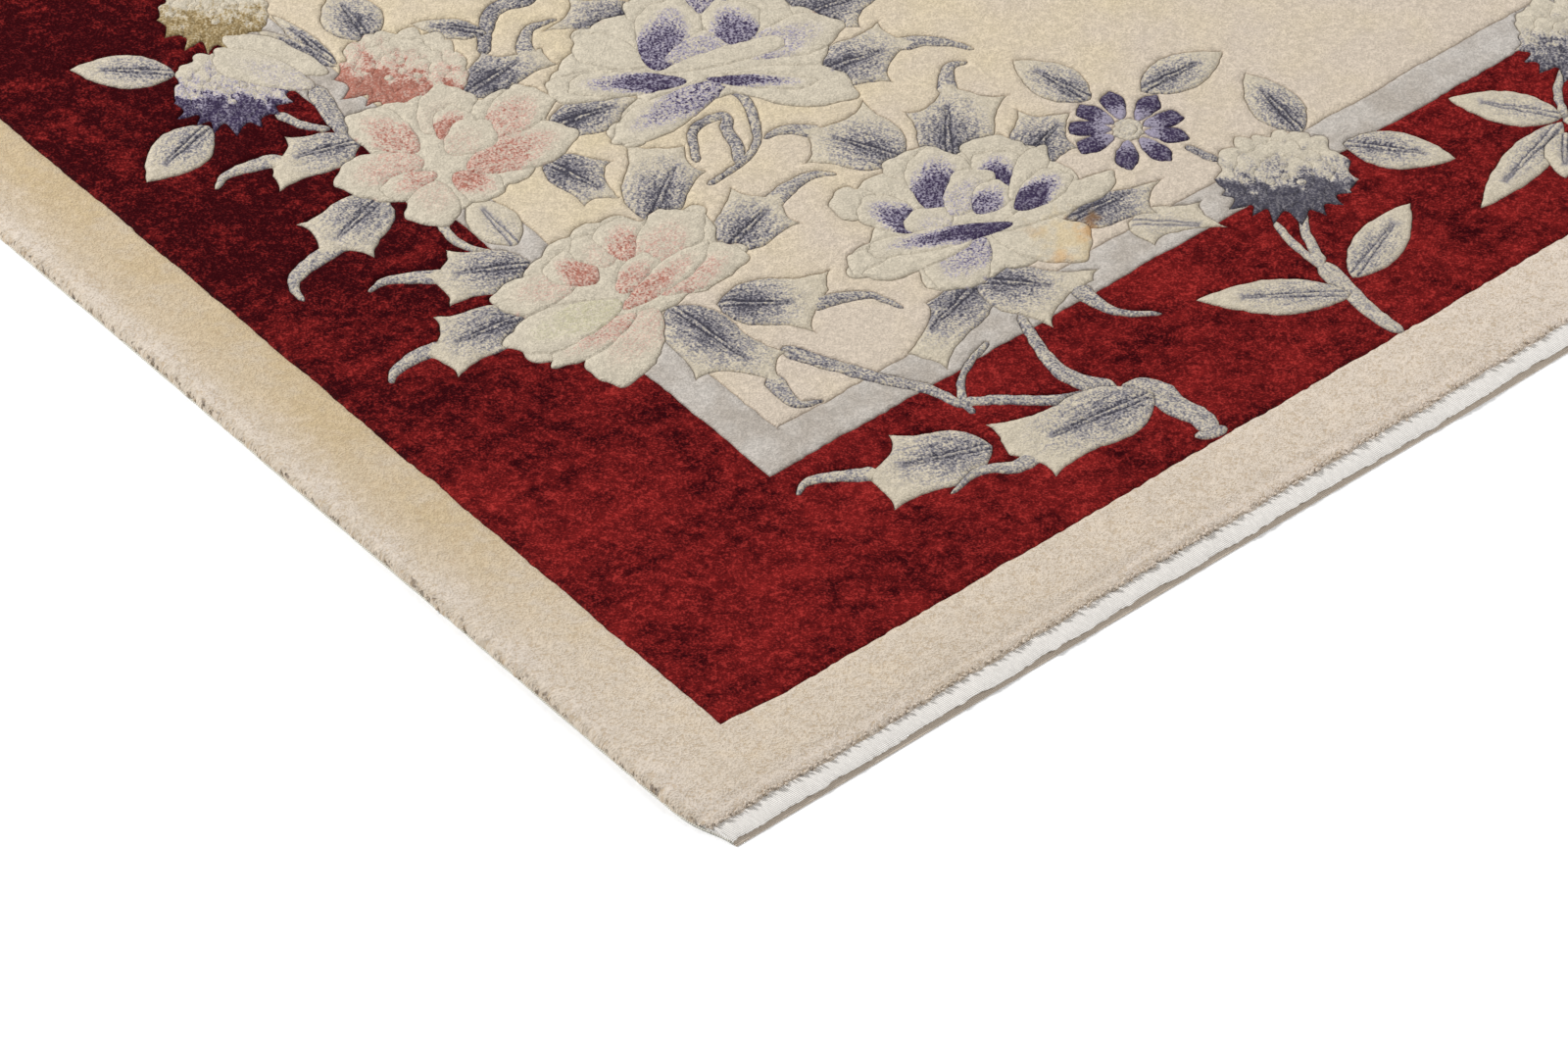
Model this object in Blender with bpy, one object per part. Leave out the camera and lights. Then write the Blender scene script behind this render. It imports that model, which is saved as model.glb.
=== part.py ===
"""A hand-knotted Chinese silk rug with a carved floral pile, lying flat.

The rug is one cloth: a woven foundation, a dense cut pile knotted on it, and a
narrow flat-woven web at each short end, turned under. The pile is carved along
the edges of its borders, and the bouquets of leaves and flowers stand a little
proud. The origin is at the middle of the underside, +X runs along the short
ends, +Y along the long sides, and +Z is up.
"""
from collections import namedtuple

import bmesh
import bpy
import numpy as np
from mathutils import Vector
from mathutils.geometry import delaunay_2d_cdt

MM = 0.001

# Driving sizes, in metres
RUG_WIDTH = 1.830
RUG_LENGTH = 2.740
WEB_REACH = 21 * MM           # flat-woven web beyond the pile at each short end
WEB_THICKNESS = 3.5 * MM
WEB_FOLD_HEIGHT = 2.2 * MM    # the folded edge is rounded down to this height
PILE_TOP = 10.5 * MM
PILE_SIDE_HEIGHT = 6.5 * MM   # the pile rounds over to this height at the long sides
PILE_ROUNDING = 5.0 * MM
FOLD_ROUNDING = 1.5 * MM
CROWN = 1.5 * MM              # leaves, stems and petals rise this far above the ground
CUT_DEPTH = 1.6 * MM          # carved line between two borders
CUT_HALF_WIDTH = 4.0 * MM
EDGE_WANDER = 1.5 * MM        # the hand-made edges wander this far from a straight line

# Borders: how far in each colour ends, from the long sides and from the short ends
Border = namedtuple("Border", "from_side from_end")
BORDERS = (
    Border(86.6 * MM, 96.5 * MM),    # cream guard to red
    Border(303.0 * MM, 293.0 * MM),  # red to grey
    Border(344.0 * MM, 333.0 * MM),  # grey to the cream field
)

# How finely outlines and borders are divided
CURVE_STEPS = 3
BLADE_STEPS = 5
PETAL_POINTS = 10
ROUTE_STEPS = 2
BORDER_STEP = 60 * MM
EDGE_STEP = 90 * MM

# The bouquet's chart, in millimetres from the rug's near left corner
Lobed = namedtuple("Lobed", "base tip lobes tail")
LOBED_LEAVES = (
    Lobed((304, 824), (228, 848), ((258, 869), (211, 817)), ((240, 848), (215, 856), (190, 861), (172, 853))),
    Lobed((276, 758), (185, 732), ((196, 775), (220, 703)), ((225, 735), (165, 728), (146, 716), (141, 696))),
    Lobed((317, 612), (238, 655), ((273, 673), (231, 616)), ((255, 645), (230, 662), (208, 674), (190, 672))),
    Lobed((277, 568), (178, 582), ((212, 615), (182, 545)), ((200, 580), (170, 586), (145, 582), (134, 573))),
    Lobed((456, 526), (535, 548), ((508, 583), (524, 512)), ((515, 545), (545, 552), (572, 552), (589, 540))),
    Lobed((427, 592), (512, 648), ((476, 682), (505, 612)), ()),
    Lobed((408, 814), (500, 822), ((458, 850), (497, 796)), ((482, 812), (490, 832), (508, 847), (534, 843))),
    Lobed((408, 707), (427, 630), ((452, 672), (398, 642)), ()),
    Lobed((600, 796), (515, 838), ((560, 858), (556, 800)), ()),
    Lobed((671, 724), (800, 690), ((705, 775), (730, 672)), ()),
    Lobed((659, 650), (752, 628), ((746, 667), (703, 600)), ((735, 635), (758, 625), (775, 608), (786, 588))),
    Lobed((645, 520), (604, 600), ((577, 567), (668, 598)), ((615, 585), (600, 604), (585, 613), (571, 612))),
    Lobed((670, 488), (738, 572), ((686, 563), (768, 526)), ((728, 556), (742, 574), (756, 585), (771, 580))),
    Lobed((722, 452), (795, 476), ((762, 506), (770, 438)), ()),
    Lobed((738, 340), (799, 284), ((803, 322), (736, 306)), ()),
    Lobed((697, 374), (797, 364), ((740, 396), (765, 335)), ()),
    Lobed((404, 479), (470, 427), ((505, 452), (445, 403)), ((460, 432), (485, 422), (510, 408), (521, 378))),
    Lobed((373, 502), (382, 372), ((331, 419), (410, 398)), ((382, 385), (376, 360), (378, 343), (396, 335))),
    Lobed((600, 366), (487, 334), ((540, 372), (500, 300)), ()),
    Lobed((590, 366), (650, 305), ((679, 313), (602, 282)), ((650, 310), (650, 285), (657, 261), (683, 239))),
    Lobed((467, 207), (362, 246), ((410, 271), (354, 200)), ((375, 240), (355, 252), (325, 269), (305, 263))),
    Lobed((603, 175), (470, 190), ((480, 229), (483, 147)), ((495, 178), (465, 176), (440, 191), (403, 185))),
)

Blade = namedtuple("Blade", "base tip width")
BLADE_LEAVES = (
    Blade((237, 990), (171, 1051), 44), Blade((216, 918), (133, 896), 42),
    Blade((392, 921), (408, 992), 46), Blade((322, 640), (330, 712), 44),
    Blade((436, 738), (523, 717), 48), Blade((476, 866), (434, 915), 26),
    Blade((819, 477), (802, 556), 46), Blade((860, 458), (949, 452), 46),
    Blade((930, 333), (945, 419), 46), Blade((948, 300), (1009, 226), 48),
    Blade((822, 158), (717, 233), 44), Blade((837, 172), (939, 209), 44),
    Blade((1117, 207), (1058, 287), 44), Blade((1112, 203), (981, 167), 38),
    Blade((1105, 192), (1063, 150), 36),
)

Stem = namedtuple("Stem", "route start_width end_width")
STEMS = (
    Stem(((617, 104), (622, 125), (615, 150), (616, 170), (596, 192)), 20, 30),
    Stem(((592, 193), (573, 225), (573, 258), (590, 312)), 22, 9),
    Stem(((585, 197), (545, 215), (510, 243), (483, 262)), 13, 11),
    Stem(((484, 266), (481, 245)), 9, 7),
    Stem(((480, 256), (472, 290), (450, 325), (428, 365), (410, 404)), 10, 16),
    Stem(((483, 262), (502, 284), (525, 296), (548, 303)), 8, 6),
    Stem(((822, 96), (820, 130), (824, 165), (828, 202)), 13, 20),
    Stem(((826, 195), (828, 235), (834, 264)), 9, 8),
    Stem(((830, 200), (843, 233), (861, 258)), 10, 8),
    Stem(((850, 351), (841, 382)), 11, 6),
    Stem(((294, 852), (281, 868), (271, 897)), 8, 11),
    Stem(((302, 830), (306, 862), (318, 905)), 16, 20),
    Stem(((349, 912), (345, 945), (328, 990)), 12, 16),
    Stem(((303, 640), (289, 665), (288, 690), (300, 714)), 8, 10),
    Stem(((590, 690), (592, 665), (580, 636), (562, 613), (535, 601), (495, 598)), 11, 6),
    Stem(((534, 603), (546, 618), (553, 640), (564, 656), (545, 661), (527, 655), (508, 626)), 12, 8),
    Stem(((457, 846), (476, 868), (503, 886), (538, 876)), 11, 18),
    Stem(((1150, 96), (1147, 140), (1135, 178), (1115, 205)), 13, 16),
    Stem(((1117, 204), (1135, 232), (1160, 252)), 8, 8),
)

# Each peony is a few petals, the lowest first
Petal = namedtuple("Petal", "root end width")
PEONY_PETALS = (
    # upper pink peony
    Petal((352, 795), (410, 825), 40), Petal((332, 782), (322, 852), 42), Petal((330, 772), (258, 790), 46),
    Petal((328, 752), (278, 757), 26), Petal((322, 742), (283, 706), 40), Petal((338, 742), (352, 700), 34),
    Petal((350, 738), (448, 726), 46), Petal((392, 760), (462, 780), 42), Petal((358, 782), (395, 802), 30),
    Petal((350, 764), (400, 774), 36),
    # lower pink peony
    Petal((335, 575), (264, 592), 38), Petal((345, 562), (333, 606), 38), Petal((365, 570), (370, 612), 34),
    Petal((385, 562), (408, 608), 44), Petal((385, 548), (458, 582), 46), Petal((362, 505), (274, 466), 46),
    Petal((345, 512), (256, 508), 26), Petal((345, 530), (243, 545), 42), Petal((375, 518), (462, 520), 36),
    Petal((350, 540), (400, 556), 28), Petal((340, 522), (440, 540), 24),
    # upper purple peony
    Petal((550, 745), (462, 768), 38), Petal((562, 750), (540, 797), 46), Petal((600, 756), (627, 808), 46),
    Petal((568, 742), (582, 800), 52), Petal((595, 690), (702, 702), 44), Petal((640, 712), (694, 762), 34),
    Petal((638, 720), (648, 762), 36), Petal((572, 726), (642, 745), 42), Petal((572, 712), (508, 752), 30),
    Petal((585, 695), (478, 690), 40), Petal((580, 699), (500, 741), 18), Petal((592, 690), (655, 628), 52),
    # lower purple peony
    Petal((595, 490), (560, 512), 36), Petal((600, 440), (580, 497), 36), Petal((645, 490), (648, 525), 48),
    Petal((640, 462), (662, 502), 48), Petal((695, 458), (722, 492), 48), Petal((675, 435), (712, 474), 40),
    Petal((560, 432), (520, 442), 30), Petal((605, 425), (612, 460), 38), Petal((628, 440), (685, 464), 36),
    Petal((640, 404), (690, 343), 48), Petal((645, 400), (765, 392), 26), Petal((625, 402), (562, 378), 46),
    Petal((620, 404), (527, 425), 22), Petal((620, 414), (556, 447), 28), Petal((640, 426), (685, 446), 30),
    Petal((680, 422), (744, 456), 22), Petal((675, 410), (737, 422), 30),
)

Bloom = namedtuple("Bloom", "centre radius points")
DOUBLE_BLOOMS = (
    Bloom((312, 1034), 54, 16), Bloom((388, 872), 60, 18), Bloom((252, 941), 54, 16),
    Bloom((880, 300), 63, 18), Bloom((1200, 272), 62, 18),
)
TOOTH_DEPTH = 0.16            # share of a double bloom's radius
DAISY = Bloom((816, 430), 52, 9)
DAISY_HUB = 15
DAISY_PETAL_WIDTH = 23


def curve(start, end, bulge, steps):
    """Points from start up to, not including, end, on an arc that stands off its chord
    by bulge chord lengths to the left."""
    start, end = np.array(start, float), np.array(end, float)
    left = np.array((start[1] - end[1], end[0] - start[0]))
    handle = (start + end) / 2 + 2 * bulge * left
    t = (np.arange(steps) / steps)[:, None]
    return (1 - t) ** 2 * start + 2 * t * (1 - t) * handle + t ** 2 * end


def smooth_route(route, steps):
    """A Catmull-Rom curve through the route's points."""
    p = np.array(route, float)
    p = np.vstack((2 * p[0] - p[1], p, 2 * p[-1] - p[-2]))
    t = (np.arange(steps) / steps)[:, None]
    pieces = [0.5 * (2 * b + (c - a) * t + (2 * a - 5 * b + 4 * c - d) * t ** 2 + (3 * b - a - 3 * c + d) * t ** 3)
              for a, b, c, d in zip(p[:-3], p[1:-2], p[2:-1], p[3:])]
    return np.vstack(pieces + [p[-2:-1]])


def ribbon(route, start_width, end_width):
    """Outline of a band that follows a route while its width changes evenly."""
    middle = smooth_route(route, ROUTE_STEPS)
    along = np.gradient(middle, axis=0)
    along /= np.linalg.norm(along, axis=1)[:, None]
    half = np.linspace(start_width, end_width, len(middle))[:, None] / 2
    across = np.stack((-along[:, 1], along[:, 0]), axis=1) * half
    return np.vstack((middle + across, (middle - across)[::-1])), middle[1:-1]


def leaf_side(base, lobe, tip):
    """One side of a lobed leaf: a full belly to the lobe, a notch, and on to the tip."""
    base, lobe, tip = (np.array(p, float) for p in (base, lobe, tip))
    axis = (tip - base) / np.linalg.norm(tip - base)
    reach = np.dot(lobe - base, axis)
    foot = base + axis * reach
    notch = foot + 0.35 * (tip - foot) + 0.45 * (lobe - foot)
    hand = np.sign(axis[0] * (lobe - base)[1] - axis[1] * (lobe - base)[0])
    return np.vstack((curve(base, lobe, 0.20 * hand, CURVE_STEPS),
                      curve(lobe, notch, -0.10 * hand, CURVE_STEPS - 1),
                      curve(notch, tip, 0.08 * hand, CURVE_STEPS - 1))), hand


def lobed_outline(leaf):
    """Outline of a leaf with a lobe on each side, and the ridge along its middle."""
    (first, hand), (second, _) = (leaf_side(leaf.base, lobe, leaf.tip) for lobe in leaf.lobes)
    outline = np.vstack((first, [leaf.tip], second[:0:-1]))
    base, tip = np.array(leaf.base, float), np.array(leaf.tip, float)
    ridge = base + (tip - base) * np.array((0.2, 0.5, 0.8))[:, None]
    return outline if hand < 0 else outline[::-1], ridge


def blade_outline(leaf):
    """Outline of a plain pointed leaf, widest nearer its base."""
    base, tip = np.array(leaf.base, float), np.array(leaf.tip, float)
    t = np.linspace(0, 1, BLADE_STEPS + 2)
    half = leaf.width / 2 * np.sin(np.pi * t ** 0.85) ** 0.85
    left = np.array((base[1] - tip[1], tip[0] - base[0])) / np.linalg.norm(tip - base)
    middle = base + (tip - base) * t[:, None]
    outline = np.vstack((middle + left * half[:, None], (middle - left * half[:, None])[-2:0:-1]))
    return outline, middle[1:-1:2]


def petal_outline(petal):
    """An egg shape, fuller towards its free end."""
    root, end = np.array(petal.root, float), np.array(petal.end, float)
    length = np.linalg.norm(end - root)
    along = (end - root) / length
    across = np.array((-along[1], along[0]))
    turn = np.linspace(0, 2 * np.pi, PETAL_POINTS, endpoint=False)[:, None]
    outline = ((root + end) / 2 + along * length / 2 * np.cos(turn)
               + across * petal.width / 2 * np.sin(turn) * (1 + 0.25 * np.cos(turn)))
    return outline, root + (end - root) * np.array((0.35, 0.7))[:, None]


def bloom_outline(bloom):
    """A disc with a pointed rim, and a raised ring inside it."""
    turn = np.linspace(0, 2 * np.pi, 2 * bloom.points, endpoint=False)
    depth = np.where(np.arange(2 * bloom.points) % 2, 1 - TOOTH_DEPTH, 1)
    outline = bloom.centre + (bloom.radius * depth * (np.cos(turn), np.sin(turn))).T
    inner = turn[::4]
    return outline, bloom.centre + 0.55 * bloom.radius * np.stack((np.cos(inner), np.sin(inner)), axis=1)


def daisy_petals():
    """The daisy's narrow petals, set evenly round its hub."""
    for k in range(DAISY.points):
        turn = 2 * np.pi * (k + 0.5) / DAISY.points
        way = np.array((np.cos(turn), np.sin(turn)))
        yield Petal(DAISY.centre + DAISY_HUB * way, DAISY.centre + DAISY.radius * way, DAISY_PETAL_WIDTH)


def bouquet():
    """Every motif of one bouquet, lowest first, as (group, outline, ridge) in millimetres."""
    shapes = [("stems",) + ribbon(*stem) for stem in STEMS]
    shapes += [(f"blade{k}",) + blade_outline(leaf) for k, leaf in enumerate(BLADE_LEAVES)]
    for k, leaf in enumerate(LOBED_LEAVES):
        if leaf.tail:
            shapes.append((f"lobed{k}",) + ribbon(leaf.tail, 14, 3))
        shapes.append((f"lobed{k}",) + lobed_outline(leaf))
    shapes += [(f"bloom{k}",) + bloom_outline(bloom) for k, bloom in enumerate(DOUBLE_BLOOMS)]
    shapes += [(f"daisy{k}",) + petal_outline(petal) for k, petal in enumerate(daisy_petals())]
    shapes += [(f"petal{k}",) + petal_outline(petal) for k, petal in enumerate(PEONY_PETALS)]
    return shapes


def inside(points, outline):
    """Which points lie inside a closed outline, by counting the edges crossed to their right."""
    x, y = points[:, :1], points[:, 1:]
    ax, ay = outline[:, 0], outline[:, 1]
    bx, by = np.roll(ax, -1), np.roll(ay, -1)
    spans = (ay > y) != (by > y)
    rise = np.where(by == ay, 1, by - ay)
    crossing = ax + (y - ay) / rise * (bx - ax)
    return np.sum(spans & (crossing > x), axis=1) % 2 == 1


class Drawing:
    """Points and lines on the rug's plan, each point with the height added to its ground."""

    def __init__(self):
        self.points, self.lines, self.lift = [], [], []

    def add(self, points, keep_point, keep_line, closed, lift):
        """Add a run of points, and the lines between neighbours that are kept."""
        count = len(points)
        following = [(k + 1) % count for k in range(count if closed else count - 1)]
        lines = [(k, n) for k, n in enumerate(following) if keep_line[k]]
        wanted = sorted({k for line in lines for k in line} | set(np.flatnonzero(keep_point)))
        place = {k: len(self.points) + n for n, k in enumerate(wanted)}
        self.points += [tuple(points[k]) for k in wanted]
        self.lift += [lift] * len(wanted)
        self.lines += [(place[a], place[b]) for a, b in lines]


def hidden_by(points, group, order, shapes):
    """Which points are covered by the same group's other shapes or by any shape above."""
    hidden = np.zeros(len(points), bool)
    for k, (other, outline, _) in enumerate(shapes):
        if k > order or (other == group and k != order):
            hidden |= inside(points, outline)
    return hidden


def near_corner(points):
    """Millimetres from the near left corner, in metres on the rug's plan."""
    return np.asarray(points) * MM


def far_corner(points):
    """The same place seen from the opposite corner, for the bouquet that is turned round."""
    return np.array((RUG_WIDTH, RUG_LENGTH)) - np.asarray(points) * MM


def draw_bouquet(drawing, shapes, to_plan):
    """Draw the visible outlines at the ground's height, and the ridges above it."""
    for order, (group, outline, ridge) in enumerate(shapes):
        middles = (outline + np.roll(outline, -1, axis=0)) / 2
        seen = ~hidden_by(middles, group, order, shapes)
        drawing.add(to_plan(outline), np.zeros(len(outline), bool), seen, True, 0.0)
        standing = ~hidden_by(ridge, "", order, shapes)
        spans = standing[1:] & standing[:-1] & (not group.startswith("bloom"))
        drawing.add(to_plan(ridge), standing, spans, False, CROWN)


def loop_at(from_side, from_end, step):
    """A rectangle inside the rug's edges, with points about a step apart."""
    corners = np.array(((from_side, from_end), (RUG_WIDTH - from_side, from_end),
                        (RUG_WIDTH - from_side, RUG_LENGTH - from_end), (from_side, RUG_LENGTH - from_end)))
    sides = []
    for a, b in zip(corners, np.roll(corners, -1, axis=0)):
        count = int(np.ceil(np.linalg.norm(b - a) / step))
        sides.append(a + (b - a) * (np.arange(count) / count)[:, None])
    return np.vstack(sides)


def covered(points, coverings):
    """Which plan points lie under the bouquets."""
    result = np.zeros(len(points), bool)
    for outline in coverings:
        result |= inside(points, outline)
    return result


def draw_borders(drawing, coverings):
    """Three loops along each border: the bottom of its carved line and the two rims."""
    for border in BORDERS:
        for offset in (-CUT_HALF_WIDTH, 0, CUT_HALF_WIDTH):
            loop = loop_at(border.from_side + offset, border.from_end + offset, BORDER_STEP)
            free = ~covered(loop, coverings)
            drawing.add(loop, free, free & np.roll(free, -1), True, 0.0)


def draw_edges(drawing):
    """The outer edge, the steps of the web and of the rounded pile."""
    loop = loop_at(0, 0, EDGE_STEP)
    everywhere = np.ones(len(loop), bool)
    drawing.add(loop, everywhere, everywhere, True, 0.0)
    across = np.linspace(0, RUG_WIDTH, int(RUG_WIDTH / EDGE_STEP) + 1)
    for reach in (FOLD_ROUNDING, WEB_REACH, WEB_REACH + FOLD_ROUNDING, WEB_REACH + PILE_ROUNDING):
        for y in (reach, RUG_LENGTH - reach):
            line = np.stack((across, np.full(len(across), y)), axis=1)
            drawing.add(line, np.ones(len(line), bool), np.ones(len(line), bool), False, 0.0)
    along = np.linspace(0, RUG_LENGTH, int(RUG_LENGTH / EDGE_STEP) + 1)
    for reach in (FOLD_ROUNDING, PILE_ROUNDING):
        for x in (reach, RUG_WIDTH - reach):
            line = np.stack((np.full(len(along), x), along), axis=1)
            drawing.add(line, np.ones(len(line), bool), np.ones(len(line), bool), False, 0.0)


def ground_height(points, coverings):
    """Height of the web, the pile and the carved border lines at each plan point."""
    from_side = np.minimum(points[:, 0], RUG_WIDTH - points[:, 0])
    from_end = np.minimum(points[:, 1], RUG_LENGTH - points[:, 1])
    end_steps = (0, FOLD_ROUNDING, WEB_REACH, WEB_REACH + FOLD_ROUNDING, WEB_REACH + PILE_ROUNDING)
    end_heights = (WEB_FOLD_HEIGHT, WEB_THICKNESS, WEB_THICKNESS, 0.8 * PILE_TOP, PILE_TOP)
    side_heights = (PILE_SIDE_HEIGHT, 0.88 * PILE_TOP, PILE_TOP)
    height = np.minimum(np.interp(from_end, end_steps, end_heights),
                        np.interp(from_side, (0, FOLD_ROUNDING, PILE_ROUNDING), side_heights))
    free = ~covered(points, coverings)
    for border in BORDERS:
        away = np.abs(np.minimum(from_side - border.from_side, from_end - border.from_end))
        height -= CUT_DEPTH * np.clip(1 - away / CUT_HALF_WIDTH, 0, 1) * free
    return height


def wander(points):
    """Let the edges stray a little from straight, as hand-made ones do."""
    x, y = points[:, 0], points[:, 1]
    over_x, over_y = 2 * x / RUG_WIDTH - 1, 2 * y / RUG_LENGTH - 1
    moved_x = x + EDGE_WANDER * over_x ** 3 * (np.sin(6.1 * y + 0.7) + 0.5 * np.sin(14.3 * y) - 1.5) / 3
    moved_y = y + EDGE_WANDER * over_y ** 3 * (np.sin(7.3 * x + 2.1) + 0.5 * np.sin(17.9 * x) - 1.5) / 3
    return np.stack((moved_x - RUG_WIDTH / 2, moved_y - RUG_LENGTH / 2), axis=1)


def pile_surface(drawing, coverings):
    """Triangles of the upper surface, with each point's height."""
    flat = [Vector(p) for p in drawing.points]
    corners, _, triangles, origins, _, _ = delaunay_2d_cdt(flat, drawing.lines, [], 0, 1e-5)
    plan = np.array([tuple(p) for p in corners])
    lift = np.array([max((drawing.lift[k] for k in source), default=0.0) for source in origins])
    height = np.where(lift > 0, PILE_TOP + lift, ground_height(plan, coverings))
    return np.column_stack((wander(plan), height)), triangles


def close_to_floor(mesh, points, triangles):
    """Give the upper surface walls down to the floor and a flat underside."""
    bm = bmesh.new()
    corners = [bm.verts.new(p) for p in points]
    for triangle in triangles:
        bm.faces.new([corners[k] for k in triangle])
    rim = [edge for edge in bm.edges if edge.is_boundary]
    wall = bmesh.ops.extrude_edge_only(bm, edges=rim)["geom"]
    for corner in (part for part in wall if isinstance(part, bmesh.types.BMVert)):
        corner.co.z = 0
    bmesh.ops.holes_fill(bm, edges=[edge for edge in bm.edges if edge.is_boundary])
    bmesh.ops.recalc_face_normals(bm, faces=bm.faces)
    bm.to_mesh(mesh)
    bm.free()


def silk_material():
    """Cream silk: the ground colour of the pile."""
    material = bpy.data.materials.new("silk_pile")
    material.use_nodes = True
    shader = material.node_tree.nodes["Principled BSDF"]
    shader.inputs["Base Color"].default_value = (0.72, 0.55, 0.38, 1)
    shader.inputs["Roughness"].default_value = 0.6
    shader.inputs["Metallic"].default_value = 0.0
    return material


def build_rug():
    """The whole rug as one closed solid."""
    shapes = bouquet()
    coverings = [turn(outline) for turn in (near_corner, far_corner) for _, outline, _ in shapes]
    drawing = Drawing()
    draw_edges(drawing)
    draw_borders(drawing, coverings)
    for to_plan in (near_corner, far_corner):
        draw_bouquet(drawing, shapes, to_plan)
    points, triangles = pile_surface(drawing, coverings)
    mesh = bpy.data.meshes.new("knotted_rug")
    close_to_floor(mesh, points, triangles)
    mesh.materials.append(silk_material())
    rug = bpy.data.objects.new("knotted_rug", mesh)
    bpy.context.collection.objects.link(rug)
    print("knotted_rug:", len(mesh.polygons), "faces")


for old in list(bpy.data.objects):
    bpy.data.objects.remove(old)
build_rug()
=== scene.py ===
# %% [markdown]
# A hand-knotted Chinese silk rug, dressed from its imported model.
#
# The real rug is one cloth: a woven foundation with a cut pile knotted on it. After
# weaving, the pile is carved with shears along the edge of every border, leaf and petal.
# Here the pile is one height map over the rug's plan. Its triangles follow the carved
# lines, so each line stays sharp without a fine grid everywhere.

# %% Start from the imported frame
from collections import namedtuple

import bpy
import numpy as np
from mathutils import Matrix, Vector
from mathutils.geometry import delaunay_2d_cdt


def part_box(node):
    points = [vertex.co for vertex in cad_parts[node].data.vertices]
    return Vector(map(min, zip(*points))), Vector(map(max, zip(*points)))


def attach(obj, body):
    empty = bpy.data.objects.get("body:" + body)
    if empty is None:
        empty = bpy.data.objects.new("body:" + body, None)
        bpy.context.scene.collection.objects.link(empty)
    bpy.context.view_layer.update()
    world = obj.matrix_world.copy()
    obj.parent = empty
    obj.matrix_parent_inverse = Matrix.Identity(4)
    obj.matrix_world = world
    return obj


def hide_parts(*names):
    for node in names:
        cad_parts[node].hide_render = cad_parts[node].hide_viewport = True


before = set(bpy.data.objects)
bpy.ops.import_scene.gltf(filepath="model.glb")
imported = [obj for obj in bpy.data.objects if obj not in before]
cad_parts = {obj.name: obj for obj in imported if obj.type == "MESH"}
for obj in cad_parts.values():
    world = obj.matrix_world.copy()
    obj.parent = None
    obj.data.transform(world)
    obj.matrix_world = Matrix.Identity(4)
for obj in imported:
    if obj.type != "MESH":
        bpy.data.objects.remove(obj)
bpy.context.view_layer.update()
MM = 0.001
RUG = "knotted_rug"
LOW, HIGH = (np.array(corner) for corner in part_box(RUG))
WIDTH, LENGTH = 1830.0, 2740.0    # plan sizes, in millimetres as the whole chart is
print("frame box in metres:", LOW.round(4), HIGH.round(4))

# %% [markdown]
# The drawing is kept in millimetres from the rug's near left corner, as a weaver would
# chart it: x along the short end, y along the long side. Heights are above the floor.
# The pile's ground lies a little under the frame's top, which the raised leaves reach.

# %% Sizes that everything else is worked out from
WEB_REACH = 21.0           # flat-woven web beyond the pile at each short end
WEB_THICKNESS = 4.8        # where the pile begins
GROUND = 10.4              # height of the pile's plain ground
CROWN = 0.55               # how far leaves and petals swell above the ground
CROWN_RUN = 7.0            # distance from an outline over which they swell
CUT_DEPTH = 1.9            # depth of the carved line round a motif
CUT_RUN = 0.95             # half width of the carved line
RINGS = (0.85, 2.0)        # rows of points beside a carved line, which round its lips
OUTLINE_STEP = 2.6         # between points of an outline
FINE_LATTICE, COARSE_LATTICE = 5.0, 15.0
RIM_LATTICE, RIM_BAND = 3.6, 26.0    # the loose pile along the rim has its own lattice
BUSY_REACH = 22.0          # the fine lattice ends this far from a carved line
RIM_STEP = 2.6             # between points along the rim
EDGE_WANDER = 1.5          # the hand-made edges stray this far from straight

Border = namedtuple("Border", "from_side from_end wave")
BORDERS = (
    Border(86.6, 96.5, 0.7),     # cream guard to red
    Border(303.0, 293.0, 0.9),   # red to grey
    Border(344.0, 333.0, 1.1),   # grey to the cream field
)
print("borders end", [b.from_side for b in BORDERS], "mm in from the long sides")


# %% [markdown]
# The photograph looks at one corner with a long lens, from about 45 degrees up. Its two
# vanishing points, one for each edge of the rug, give the lens and the way the camera
# faces. Each is a direction seen by the camera as (right, down, forward).

# %% Camera
IMAGE_WIDTH, IMAGE_HEIGHT = 1600, 1067
SENSOR_WIDTH = 36.0
FOCAL_PIXELS = 9193.0
SHORT_END_VANISHING = (15000.0, -7600.0)
LONG_SIDE_VANISHING = (-10373.0, -8582.0)
ANCHOR_PIXEL = (753.0, 862.0)              # where the near corner shows
ANCHOR_PLAN = (9.1, -8.4, GROUND)          # the plan point seen there, in millimetres
MM_PER_PIXEL = 0.76                        # at the corner's distance


def ray(pixel):
    """Unit direction of a pixel: its offset from the picture's middle over the focal length."""
    right, down = pixel[0] - IMAGE_WIDTH / 2, pixel[1] - IMAGE_HEIGHT / 2
    way = np.array((right, down, FOCAL_PIXELS))
    return way / np.linalg.norm(way)


def place(x, y, z=0.0):
    """Chart millimetres to metres in the frame, whose origin is under the rug's middle."""
    return np.stack(np.broadcast_arrays((x - WIDTH / 2) * MM, (y - LENGTH / 2) * MM, z * MM), axis=-1)


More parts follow.
